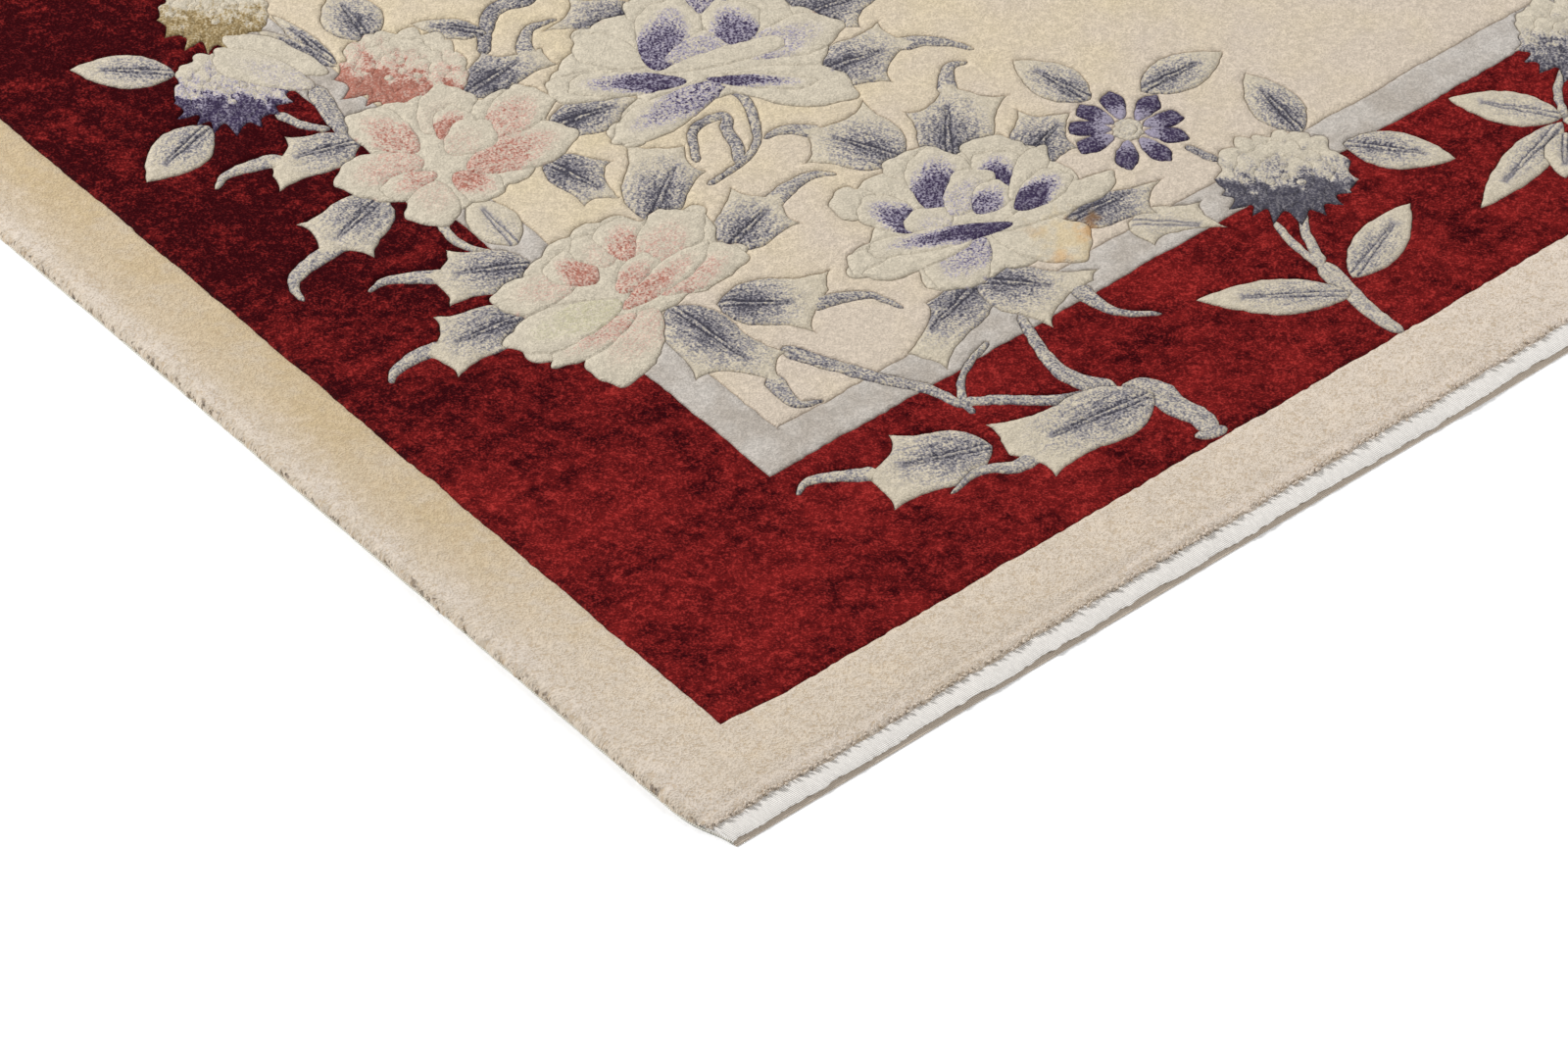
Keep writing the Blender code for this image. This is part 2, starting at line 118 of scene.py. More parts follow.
def add_camera():
    """Camera axes are the rows of the turn from the rug's axes to (right, up, back)."""
    x_seen, y_seen = ray(SHORT_END_VANISHING), ray(LONG_SIDE_VANISHING)
    y_seen = y_seen - x_seen * (x_seen @ y_seen)
    y_seen /= np.linalg.norm(y_seen)
    seen = np.stack((x_seen, y_seen, np.cross(x_seen, y_seen)))
    turn = seen * (1, -1, -1)
    distance = FOCAL_PIXELS * MM_PER_PIXEL * MM
    toward = ray(ANCHOR_PIXEL) / ray(ANCHOR_PIXEL)[2] * distance
    spot = place(*ANCHOR_PLAN) - seen @ toward
    data = bpy.data.cameras.new("camera")
    data.sensor_width = SENSOR_WIDTH
    data.lens = FOCAL_PIXELS * SENSOR_WIDTH / IMAGE_WIDTH
    data.clip_end = 40
    camera = bpy.data.objects.new("camera", data)
    bpy.context.collection.objects.link(camera)
    camera.matrix_world = Matrix.Translation(spot) @ Matrix(turn.tolist()).to_4x4()
    bpy.context.scene.camera = camera
    print("camera at", spot.round(3), "lens", round(data.lens, 1))


add_camera()

# %% [markdown]
# A studio sweep is pale and evenly lit. One large soft light stands behind the rug on its
# left, so the carved lines shade towards the viewer, and the world fills the rest.

# %% Light and floor
bpy.context.scene.view_settings.view_transform = "Standard"


def add_light(name, spot, size, power):
    """A square light that faces the rug's near corner."""
    data = bpy.data.lights.new(name, "AREA")
    data.size, data.energy = size, power
    light = bpy.data.objects.new(name, data)
    bpy.context.collection.objects.link(light)
    light.location = spot
    toward = Vector(place(500, 500) - np.array(spot))
    light.rotation_euler = toward.to_track_quat("-Z", "Y").to_euler()


add_light("key", (-4.1, 4.5, 4.9), 1.7, 640)
add_light("fill", (3.6, -4.2, 3.6), 3.0, 160)
world = bpy.data.worlds.new("studio")
world.use_nodes = True
background = world.node_tree.nodes["Background"].inputs
background["Color"].default_value = (1.0, 1.0, 1.0, 1)
background["Strength"].default_value = 0.36
bpy.context.scene.world = world
print("studio: two square lights and a world of strength", background["Strength"].default_value)

# %% [markdown]
# A carver cuts round each motif, so a motif is first of all a closed outline. It could be
# drawn by hand as a curve object. Here it is worked out from a few points, so the same
# arrays also give the carved lines, the heights and the dye.


# %% Lines and ribbons
def pairs(x, y):
    """Two arrays of numbers as points (x, y), one to a row."""
    return np.stack((np.ravel(x), np.ravel(y)), axis=1)


def way_between(start, end):
    """Length of the way from start to end, its direction, and the direction to its left."""
    way = np.array(end, float) - np.array(start, float)
    length = np.linalg.norm(way)
    way = way / length
    return length, way, np.array((-way[1], way[0]))


def curve(start, end, bulge, steps):
    """Points from start up to, not including, end, on an arc that stands off its chord
    by bulge chord lengths to the left."""
    start, end = np.array(start, float), np.array(end, float)
    left = np.array((start[1] - end[1], end[0] - start[0]))
    handle = (start + end) / 2 + 2 * bulge * left
    t = (np.arange(steps) / steps)[:, None]
    return (1 - t) ** 2 * start + 2 * t * (1 - t) * handle + t ** 2 * end


def smooth_route(route, steps=10):
    """A Catmull-Rom curve: each stretch is a cubic through four neighbouring points."""
    p = np.array(route, float)
    p = np.vstack((2 * p[0] - p[1], p, 2 * p[-1] - p[-2]))
    t = (np.arange(steps) / steps)[:, None]
    pieces = [0.5 * (2 * b + (c - a) * t + (2 * a - 5 * b + 4 * c - d) * t ** 2
                     + (3 * b - a - 3 * c + d) * t ** 3)
              for a, b, c, d in zip(p[:-3], p[1:-2], p[2:-1], p[3:])]
    return np.vstack(pieces + [p[-2:-1]])


def even_steps(outline, step=OUTLINE_STEP, closed=True):
    """The same line with its points an even step apart between its sharp corners, which stay."""
    line = np.vstack((outline, outline[:1])) if closed else np.asarray(outline, float)
    line = line[np.concatenate(([True], np.linalg.norm(np.diff(line, axis=0), axis=1) > 1e-6))]
    edge = np.diff(line, axis=0)
    length = np.linalg.norm(edge, axis=1)
    turn = (edge[:-1] * edge[1:]).sum(1) / (length[:-1] * length[1:])
    corners = [0, *(np.flatnonzero(turn < 0.8) + 1), len(line) - 1]
    run = np.concatenate(([0], np.cumsum(length)))
    at = np.concatenate([np.linspace(run[a], run[b], max(int(round((run[b] - run[a]) / step)), 1) + 1)[:-1]
                         for a, b in zip(corners[:-1], corners[1:])] + [[] if closed else run[-1:]])
    return pairs(np.interp(at, run, line[:, 0]), np.interp(at, run, line[:, 1]))


def ribbon(route, start_width, end_width):
    """A band along a smooth route. Its half width runs evenly from start to end, and both
    ends are rounded off as the root of the distance from them."""
    middle = smooth_route(route)
    along = np.gradient(middle, axis=0)
    length = np.linalg.norm(along, axis=1)
    along /= length[:, None]
    half = np.linspace(start_width, end_width, len(middle)) / 2
    run = np.cumsum(length) - length[0]
    to_end = np.minimum(run, run[-1] - run)
    half *= np.clip(to_end / half, 0.08, 1) ** 0.5
    across = pairs(-along[:, 1], along[:, 0]) * half[:, None]
    return np.vstack((middle + across, (middle - across)[::-1]))


print("a stem of 100 mm has", len(even_steps(ribbon(((0, 0), (50, 5), (100, 0)), 20, 10))), "outline points")

# %% [markdown]
# Two kinds of leaf grow in the bouquet. A lobed one has a pointed lobe on each side and a
# curled tip, a plain one is a blade. Each half of a lobed leaf is four arcs end to end.


# %% Leaves
def leaf_side(base, lobe, tip):
    """A full belly to a shoulder, a hollow out to the lobe's point, a hollow back to the
    notch, and on to the tip. The shoulder lies on the leaf's side, a little inside the lobe."""
    base, lobe, tip = (np.array(p, float) for p in (base, lobe, tip))
    _, axis, _ = way_between(base, tip)
    foot = base + axis * np.dot(lobe - base, axis)
    shoulder = base + 0.55 * (foot - base) + 0.76 * (lobe - foot)
    notch = foot + 0.22 * (tip - foot) + 0.42 * (lobe - foot)
    hand = np.sign(axis[0] * (lobe - base)[1] - axis[1] * (lobe - base)[0])
    return np.vstack((curve(base, shoulder, 0.18 * hand, 12), curve(shoulder, lobe, -0.07 * hand, 8),
                      curve(lobe, notch, -0.12 * hand, 8), curve(notch, tip, -0.05 * hand, 8))), hand


def lobed_outline(base, tip, lobes):
    """Up one side of the leaf to its tip, and back down the other."""
    (first, hand), (second, _) = (leaf_side(base, lobe, tip) for lobe in lobes)
    outline = np.vstack((first, [tip], second[:0:-1]))
    return outline if hand < 0 else outline[::-1]


def blade_outline(base, tip, width):
    """Half width is width / 2 times sin(pi t^0.85)^0.85, along a slightly bowed middle."""
    base, tip = np.array(base, float), np.array(tip, float)
    t = np.linspace(0, 1, 40)
    _, _, left = way_between(base, tip)
    half = (width / 2 * np.sin(np.pi * t ** 0.85) ** 0.85)[:, None]
    middle = base + (tip - base) * t[:, None]
    return np.vstack((middle + left * half, (middle - left * half)[-2:0:-1]))


def vein_pair(base, tip, spread=3.2, extent=(0.04, 0.7)):
    """Two lines beside a leaf's middle, which close towards its tip as the root of what is left."""
    base, tip = np.array(base, float), np.array(tip, float)
    t = np.linspace(*extent, 24)[:, None]
    _, _, left = way_between(base, tip)
    for hand in (1, -1):
        yield base + (tip - base) * t + hand * left * spread * (1 - t / (extent[1] * 1.15)) ** 0.5


print("a blade has", len(blade_outline((0, 0), (100, 0), 44)), "points")

# %% [markdown]
# A petal is an egg with a ruffled rim. The double blooms and the beads in their middle are
# discs with bulges. The lowest petals of a peony run together into one ruffled bed.


# %% Petals and blooms
def petal_outline(root, end, width, waves=0.0, phase=0.0):
    """An egg, fuller towards its free end, whose rim there is ruffled: it swells and dips as
    the sum of a slow and a quick wave."""
    root, end = np.array(root, float), np.array(end, float)
    length, along, across = way_between(root, end)
    turn = np.linspace(0, 2 * np.pi, 96, endpoint=False)[:, None]
    free = 0.5 + 0.5 * np.cos(turn)
    swell = 1 + waves * free * (np.cos(5 * turn + phase) + 0.5 * np.cos(9 * turn + 2 * phase))
    return ((root + end) / 2 + along * length / 2 * np.cos(turn) * swell
            + across * width / 2 * np.sin(turn) * (1 + 0.32 * np.cos(turn)) * swell)


def scalloped(centre, radius, points, depth, phase=0.0, sharp_way=None):
    """A disc whose rim bulges once for each point, with sharp dips between, by depth of its
    radius. Towards sharp_way the bulges turn into outward points. A sum of waves makes some
    of them stand out more."""
    turn = np.linspace(0, 2 * np.pi, 24 * points, endpoint=False)
    spread = turn + 1.1 / points * np.sin(3 * turn + phase)
    uneven = 1 + sum(size * np.sin(count * turn + phase * (count + 1))
                     for count, size in ((2, 0.03), (5, 0.035), (11, 0.04), (23, 0.015)))
    wave = np.abs(np.sin(points * spread / 2 + phase))
    sharp = 0.0 if sharp_way is None else 0.5 + 0.5 * np.cos(turn - np.radians(sharp_way))
    dip = sharp * 1.6 * wave ** 0.8 + (1 - sharp) * 0.8 * (1 - wave ** 0.7)
    rim = radius * uneven * (1 - depth * dip)
    return centre + pairs(rim * np.cos(turn), rim * np.sin(turn))


def ruffled(outline):
    """Pushed out by 6 |sin|^0.7 - 4 millimetres, where the sine runs half a turn for each bulge."""
    line = even_steps(outline)
    run = np.arange(len(line)) / len(line)
    bulges = round(len(line) * OUTLINE_STEP / BED_SCALLOP)
    along = np.roll(line, -1, axis=0) - np.roll(line, 1, axis=0)
    out = pairs(along[:, 1], -along[:, 0]) / np.linalg.norm(along, axis=1)[:, None]
    area = (line[:, 0] * np.roll(line[:, 1], -1) - np.roll(line[:, 0], -1) * line[:, 1]).sum()
    return line + np.sign(area) * out * (6 * np.abs(np.sin(np.pi * bulges * run)) ** 0.7 - 4)[:, None]


print("a petal has", len(petal_outline((0, 0), (80, 0), 44)), "points")

# %% [markdown]
# The chart. A weaver's cartoon places each motif by a few points, and its shape follows
# from them, so each row below is one motif: where it starts, where it ends, its lobes or
# its width. The yarns are named, and a motif runs from its dark yarn to its light one.

# %% The chart, in millimetres from the near left corner
Lobed = namedtuple("Lobed", "base tip lobes tail tone")
LOBED_LEAVES = (
    Lobed((304, 824), (228, 848), ((258, 869), (211, 817)),
          ((240, 848), (215, 856), (190, 861), (172, 853)), 0.6),
    Lobed((276, 758), (185, 732), ((196, 775), (220, 703)),
          ((225, 735), (165, 728), (146, 716), (141, 696)), 0.7),
    Lobed((317, 612), (238, 655), ((273, 673), (231, 616)),
          ((255, 645), (230, 662), (208, 674), (190, 672)), 0.8),
    Lobed((277, 568), (178, 582), ((212, 615), (182, 545)),
          ((200, 580), (170, 586), (145, 582), (134, 573)), 0.8),
    Lobed((456, 526), (535, 548), ((508, 583), (524, 512)),
          ((515, 545), (545, 552), (572, 552), (589, 540)), 0.8),
    Lobed((427, 592), (512, 648), ((476, 682), (505, 612)), (), 0.8),
    Lobed((408, 814), (500, 822), ((458, 850), (497, 796)),
          ((482, 812), (490, 832), (508, 847), (534, 843)), 1.0),
    Lobed((408, 707), (427, 630), ((452, 672), (398, 642)), (), 1.0),
    Lobed((600, 796), (515, 838), ((560, 858), (556, 800)), (), 0.9),
    Lobed((671, 724), (800, 690), ((705, 775), (730, 672)), (), 1.0),
    Lobed((659, 650), (752, 628), ((746, 667), (703, 600)),
          ((735, 635), (758, 625), (775, 608), (786, 588)), 0.9),
    Lobed((645, 520), (604, 600), ((577, 567), (668, 598)),
          ((615, 585), (600, 604), (585, 613), (571, 612)), 0.8),
    Lobed((670, 488), (738, 572), ((686, 563), (768, 526)),
          ((728, 556), (742, 574), (756, 585), (771, 580)), 0.9),
    Lobed((722, 452), (795, 476), ((762, 506), (770, 438)), (), 0.9),
    Lobed((738, 340), (799, 284), ((803, 322), (736, 306)), (), 0.1),
    Lobed((697, 374), (797, 364), ((740, 396), (765, 335)), (), 1.0),
    Lobed((404, 479), (470, 427), ((505, 452), (445, 403)),
          ((460, 432), (485, 422), (510, 408), (521, 378)), 1.0),
    Lobed((373, 502), (382, 372), ((331, 419), (410, 398)),
          ((382, 385), (376, 360), (378, 343), (396, 335)), 0.9),
    Lobed((600, 366), (487, 334), ((540, 372), (500, 300)), (), 0.9),
    Lobed((590, 366), (650, 305), ((679, 313), (602, 282)),
          ((650, 310), (650, 285), (657, 261), (683, 239)), 0.9),
    Lobed((467, 207), (362, 246), ((410, 271), (354, 200)),
          ((375, 240), (355, 252), (325, 269), (305, 263)), 0.7),
    Lobed((612, 170), (470, 190), ((480, 229), (483, 147)),
          ((495, 178), (465, 176), (440, 191), (403, 185)), 0.7),
)

Blade = namedtuple("Blade", "base tip width tone")
BLADE_LEAVES = (
    Blade((237, 990), (171, 1051), 44, 0.6), Blade((218, 920), (133, 896), 50, 0.6),
    Blade((392, 921), (408, 992), 54, 0.8), Blade((322, 640), (330, 712), 44, 0.15),
    Blade((351, 914), (349, 1000), 17, 0.9), Blade((348, 912), (326, 996), 17, 0.8),
    Blade((436, 738), (523, 717), 48, 1.1), Blade((476, 866), (434, 915), 26, 0.9),
    Blade((819, 477), (802, 556), 46, 0.7), Blade((860, 458), (949, 452), 46, 0.7),
    Blade((930, 333), (945, 419), 46, 0.9), Blade((948, 300), (1009, 226), 48, 0.6),
    Blade((822, 158), (717, 233), 44, 0.35), Blade((837, 172), (939, 209), 44, 0.4),
    Blade((1117, 207), (1058, 287), 44, 0.2), Blade((1112, 203), (981, 167), 38, 0.3),
    Blade((1105, 192), (1063, 150), 36, 0.2),
)

Stem = namedtuple("Stem", "route start_width end_width tone")
STEMS = (
    Stem(((617, 104), (622, 125), (615, 150), (616, 170), (596, 192)), 20, 30, 0.35),
    Stem(((603, 111), (616, 105), (631, 103)), 10, 12, 0.35),
    Stem(((592, 193), (573, 225), (573, 258), (590, 312)), 22, 9, 0.4),
    Stem(((585, 197), (545, 215), (510, 243), (483, 262)), 13, 11, 0.4),
    Stem(((484, 266), (481, 245)), 9, 7, 0.4),
    Stem(((480, 256), (472, 290), (450, 325), (428, 365), (410, 404)), 10, 16, 0.45),
    Stem(((483, 262), (502, 284), (525, 296), (548, 303)), 8, 6, 0.35),
    Stem(((822, 96), (820, 130), (824, 165), (828, 202)), 13, 20, 0.2),
    Stem(((826, 195), (828, 235), (834, 264)), 9, 8, 0.2),
    Stem(((830, 200), (843, 233), (861, 258)), 10, 8, 0.2),
    Stem(((850, 351), (841, 382)), 11, 6, 0.5),
    Stem(((294, 852), (281, 868), (271, 897)), 8, 11, 0.3),
    Stem(((302, 830), (306, 862), (318, 905)), 16, 20, 0.4),
    Stem(((303, 640), (289, 665), (288, 690), (300, 714)), 8, 10, 0.2),
    Stem(((590, 690), (592, 665), (580, 636), (562, 613), (535, 601), (495, 598)), 11, 6, 0.4),
    Stem(((534, 603), (546, 618), (553, 640), (564, 656), (545, 661), (527, 655), (508, 626)), 12, 8, 0.48),
    Stem(((457, 846), (476, 868), (503, 886), (538, 876)), 11, 18, 0.6),
    Stem(((1150, 96), (1147, 140), (1135, 178), (1115, 205)), 13, 16, 0.2),
    Stem(((1117, 204), (1135, 232), (1160, 252)), 8, 8, 0.2),
)

Petal = namedtuple("Petal", "root end width dye strength")

# The petals in painting order, by their dark yarn: root, end, width and strength of the dye
PETAL_GROUPS = (
    # loose petals between the double blooms
    ("purple", (
        ((338, 910), (300, 994), 34, 0.0), ((318, 902), (278, 986), 34, 0.1))),
    # upper pink peony
    ("pink", (
        ((352, 795), (410, 825), 40, 0.05), ((332, 782), (322, 852), 42, 0.6),
        ((330, 772), (258, 790), 46, 0.35), ((328, 752), (278, 757), 26, 0.5),
        ((322, 742), (283, 706), 40, 0.1), ((338, 742), (352, 700), 34, 0.9),
        ((350, 738), (448, 726), 46, 0.7), ((392, 760), (462, 780), 42, 0.45),
        ((358, 782), (395, 802), 30, 0.95), ((350, 764), (400, 774), 36, 0.1))),
    # lower pink peony
    ("pink", (
        ((335, 575), (264, 592), 38, 0.15), ((345, 562), (333, 606), 38, 0.9),
        ((365, 570), (370, 612), 34, 0.1), ((385, 562), (408, 608), 44, 0.7),
        ((385, 548), (458, 582), 46, 0.25), ((362, 505), (274, 466), 46, 0.15),
        ((345, 512), (256, 508), 26, 0.4))),
    ("green", (
        ((345, 530), (243, 545), 42, 0.5),)),
    ("pink", (
        ((375, 518), (462, 520), 36, 0.4), ((350, 540), (400, 556), 28, 0.6),
        ((340, 522), (440, 540), 24, 0.7))),
    # upper purple peony
    ("purple", (
        ((556, 746), (527, 808), 36, 0.0), ((598, 772), (612, 818), 44, 0.0),
        ((637, 769), (660, 806), 46, 0.7), ((556, 738), (626, 794), 48, 1.0),
        ((640, 710), (690, 752), 50, 0.0), ((570, 742), (654, 726), 34, 0.35),
        ((634, 716), (660, 768), 44, 1.0), ((625, 706), (716, 690), 42, 0.3),
        ((560, 724), (470, 772), 34, 0.0), ((568, 710), (488, 766), 28, 1.1),
        ((594, 690), (478, 690), 36, 0.65), ((590, 694), (670, 616), 46, 0.0),
        ((556, 733), (664, 700), 20, 0.0), ((582, 702), (648, 642), 16, 1.1))),
    # lower purple peony
    ("purple", (
        ((595, 490), (560, 512), 36, 0.0), ((600, 440), (580, 497), 36, 1.05),
        ((645, 490), (648, 525), 48, 0.0), ((620, 450), (674, 508), 46, 1.08),
        ((695, 458), (722, 492), 48, 0.0), ((675, 435), (712, 474), 40, 1.2),
        ((560, 432), (520, 442), 30, 0.0), ((605, 425), (612, 460), 38, 0.1),
        ((628, 440), (685, 464), 36, 0.2), ((640, 404), (694, 340), 50, 0.0),
        ((645, 400), (765, 392), 26, 0.0), ((632, 406), (566, 378), 46, 0.5),
        ((620, 404), (527, 425), 22, 0.0), ((662, 399), (548, 447), 23, 1.2),
        ((646, 428), (688, 442), 28, 0.9), ((680, 422), (744, 456), 22, 0.0),
        ((675, 410), (737, 422), 30, 1.3))),
)
PEONY_PETALS = [Petal(*row[:3], dye, row[3]) for dye, rows in PETAL_GROUPS for row in rows]

# A double bloom is dark on the side that faces `dark_way`, in degrees from +x
Bloom = namedtuple("Bloom", "centre radius points dark_way dye strength")
DOUBLE_BLOOMS = (
    Bloom((312, 1034), 54, 16, 225, "gold", 0.9), Bloom((388, 872), 60, 18, 215, "pink", 1.15),
    Bloom((259, 943), 56, 17, 230, "purple", 1.3), Bloom((880, 300), 63, 18, 235, "slate", 1.3),
    Bloom((1200, 272), 62, 18, 235, "slate", 0.9),
)
BLOOM_TIERS = ((1.0, 0.17), (0.72, 0.14), (0.44, 0.12))      # share of radius, tooth depth
BEADS, BEAD_RADIUS = 4, 4.2                                  # the raised knots in its middle

# The lowest petals of each peony run together into one bed, given by its silhouette
PETAL_BEDS = (
    ((262, 802), (300, 806), (308, 842), (335, 850), (395, 828), (412, 806), (448, 796), (460, 768),
     (440, 745), (442, 712), (402, 704), (352, 700), (300, 712), (284, 738), (262, 768)),
    ((262, 598), (300, 607), (345, 622), (400, 620), (430, 596), (474, 580), (458, 540), (468, 514),
     (420, 500), (366, 500), (322, 466), (284, 458), (272, 472), (284, 494), (252, 508), (242, 536),
     (268, 566)),
    ((468, 768), (486, 790), (520, 802), (536, 820), (580, 814), (620, 824), (668, 800), (690, 764),
     (706, 728), (716, 692), (700, 674), (674, 656), (678, 628), (650, 610), (620, 636), (592, 674),
     (540, 676), (480, 674), (474, 702), (520, 724)),
    ((520, 450), (516, 432), (560, 408), (554, 378), (600, 364), (652, 350), (688, 342), (698, 376),
     (742, 392), (744, 428), (740, 462), (722, 490), (684, 496), (664, 522), (616, 518), (562, 514),
     (558, 496), (574, 470)),
)
PETAL_GROWTH = 1.12        # neighbouring petals overlap by this much
BED_SCALLOP = 34.0         # the silhouette bulges once in this distance
DAISY_CENTRE, DAISY_RADIUS, DAISY_HUB, DAISY_PETAL_WIDTH = (818, 428), 51, 14, 19
DAISY_TURNS = (20, 68, 106, 139, 172, 226, 271, 310, 343)
print(len(LOBED_LEAVES) + len(BLADE_LEAVES), "leaves,", len(STEMS), "stems,", len(PEONY_PETALS), "petals")

# %% [markdown]
# Each motif becomes one or more outlines in painting order, lowest first. Outlines of one
# group, such as a leaf and its curled tip, melt together, so no carved line parts them.
# A shade function is kept as plain numbers: an origin, a direction and two lengths.
# Three yarns dye a motif: dark at its root, then a haze between, then pale.

# %% The bouquet as outlines
YARNS = {"pink": (166, 105, 89), "purple": (54, 42, 73), "gold": (134, 112, 72),
         "slate": (70, 68, 80), "green": (190, 182, 152)}
HAZE_YARNS = {"pink": (201, 167, 153), "purple": (160, 153, 170), "gold": (172, 153, 116),
              "slate": (144, 140, 144), "green": (198, 191, 164)}
PALE_YARNS = {"cream": (202, 192, 173), "silver": (203, 192, 171), "lilac": (156, 148, 168)}
Shape = namedtuple("Shape", "group outline kind origin way length width strength dye pale swell")
Vein = namedtuple("Vein", "points strength")


def shape_between(group, outline, kind, base, tip, width, strength, dye, pale, swell=1.0):
    """A shape whose shading runs from base to tip."""
    length, way, _ = way_between(base, tip)
    return Shape(group, even_steps(outline), kind, np.array(base, float), way, length, width,
                 strength, dye, pale, swell)


def stem_shapes():
    """Every stem as a ribbon. They are one group, so they melt together where they fork."""
    for stem in STEMS:
        outline = ribbon(stem.route, stem.start_width, stem.end_width)
        yield shape_between("stems", outline, "stem", stem.route[0], stem.route[-1], stem.start_width,
                            stem.tone, "slate", "silver", 0.6)


def leaf_shapes():
    """Blades first, then the lobed leaves, each on top of its own curled tip."""
    for k, leaf in enumerate(BLADE_LEAVES):
        yield shape_between(f"blade{k}", blade_outline(leaf.base, leaf.tip, leaf.width), "leaf", leaf.base,
                            leaf.tip, leaf.width, leaf.tone, "slate", "silver")
    for k, leaf in enumerate(LOBED_LEAVES):
        if leaf.tail:
            yield shape_between(f"lobed{k}", ribbon(leaf.tail, 20, 4), "stem", leaf.tail[0], leaf.tail[-1],
                                15, 0.45 * leaf.tone, "slate", "silver", 0.6)
        yield shape_between(f"lobed{k}", lobed_outline(leaf.base, leaf.tip, leaf.lobes), "leaf", leaf.base,
                            leaf.tip, 70, leaf.tone, "slate", "silver")


def bloom_shapes():
    """A double bloom is three tiers and a few beads, a daisy is a ring of petals round a hub."""
    for k, bloom in enumerate(DOUBLE_BLOOMS):
        turn = np.radians(bloom.dark_way)
        far = np.array(bloom.centre) + bloom.radius * np.array((np.cos(turn), np.sin(turn)))
        for n, (share, depth) in enumerate(BLOOM_TIERS):
            rim = scalloped(bloom.centre, bloom.radius * share, int(bloom.points * share ** 0.6), depth,
                            0.7 * n + k, bloom.dark_way)
            yield shape_between(f"bloom{k}{n}", rim, "tier" if n else "bloom", bloom.centre, far,
                                bloom.radius, bloom.strength, bloom.dye, "cream", 0.3)
        for n in range(BEADS):
            away = 0.24 * bloom.radius * min(n, 1) * np.array((np.cos(2.1 * n + k), np.sin(2.1 * n + k)))
            bead = scalloped(np.array(bloom.centre) + away, BEAD_RADIUS, 5, 0.04, n)
            yield shape_between(f"bead{k}{n}", bead, "bead", bloom.centre, far, BEAD_RADIUS, 0.15, bloom.dye,
                                "cream", 0.8)
    for k, turn in enumerate(np.radians(DAISY_TURNS)):
        way = np.array((np.cos(turn), np.sin(turn)))
        root, end = DAISY_CENTRE + DAISY_HUB * way, DAISY_CENTRE + DAISY_RADIUS * way
        yield shape_between(f"daisy{k}", petal_outline(root, end, DAISY_PETAL_WIDTH, 0.07, k), "daisy", root,
                            end, DAISY_PETAL_WIDTH, 1.1, "purple", "lilac", 0.7)
    for n, share in enumerate((1.0, 0.55)):
        yield shape_between(f"hub{n}", scalloped(DAISY_CENTRE, DAISY_HUB * share, 9, 0.08), "bead",
                            DAISY_CENTRE, DAISY_CENTRE + np.array((DAISY_HUB, 0)), 30, 0.08,
                            "slate", "cream", 0.5)


def petal_shapes():
    """The beds, then every petal, drawn a little larger so that neighbours overlap."""
    for k, bed in enumerate(PETAL_BEDS):
        outline = ruffled(smooth_route((*bed, bed[0]), 8)[:-1])
        yield shape_between(f"petal_bed{k}", outline, "petal", bed[0], bed[len(bed) // 2], 90, 0.0,
                            "pink", "cream")
    for k, petal in enumerate(PEONY_PETALS):
        root, end = np.array(petal.root, float), np.array(petal.end, float)
        outline = petal_outline(root, end + 0.05 * (end - root), petal.width * PETAL_GROWTH, 0.06, 1.7 * k)
        yield shape_between(f"petal{k}", outline, "petal", root, end, petal.width * PETAL_GROWTH,
                            petal.strength, petal.dye, "cream")


SHAPES = [*stem_shapes(), *leaf_shapes(), *bloom_shapes(), *petal_shapes()]
VEINS = [(f"{kind}{k}", line) for kind, leaves in (("blade", BLADE_LEAVES), ("lobed", LOBED_LEAVES))
         for k, leaf in enumerate(leaves) for line in vein_pair(leaf.base, leaf.tip)]
print(len(SHAPES), "outlines in a bouquet,", len(VEINS), "veins")

# %% [markdown]
# The motifs lie over each other, so only the stretches that a viewer would see are carved.
# A painter's test does it: a stretch is hidden if a higher shape covers its middle.


# %% Which stretches of each outline show
def inside(points, outline):
    """Even-odd rule: count the outline's edges crossed on the way right from each point."""
    result = np.zeros(len(points), bool)
    low, high = outline.min(0), outline.max(0)
    near = np.flatnonzero(((points >= low) & (points <= high)).all(1))
    x, y = points[near, :1], points[near, 1:]
    ax, ay = outline[:, 0], outline[:, 1]
    bx, by = np.roll(ax, -1), np.roll(ay, -1)
    crossing = ax + (y - ay) / np.where(by == ay, 1, by - ay) * (bx - ax)
    result[near] = np.sum(((ay > y) != (by > y)) & (crossing > x), axis=1) % 2 == 1
    return result


def beside(a, b, offset):
    """Points on both sides of each stretch's middle, that far from it."""
    middle, run = (a + b) / 2, b - a
    left = pairs(-run[:, 1], run[:, 0]) / np.maximum(np.linalg.norm(run, axis=1), 1e-9)[:, None]
    return np.vstack((middle + left * offset, middle - left * offset))


def top_shape(points):
    """Index of the uppermost shape at each point, or -1 on bare ground."""
    top = np.full(len(points), -1)
    for k, shape in enumerate(SHAPES):
        top[inside(points, shape.outline)] = k
    return top


FLOWER_KINDS = ("bloom", "tier", "bead", "petal", "daisy")


def joined(lines):
    """Many lines' (starts, ends) as one array of starts and one of ends."""
    return [np.vstack(part) for part in zip(*lines)]


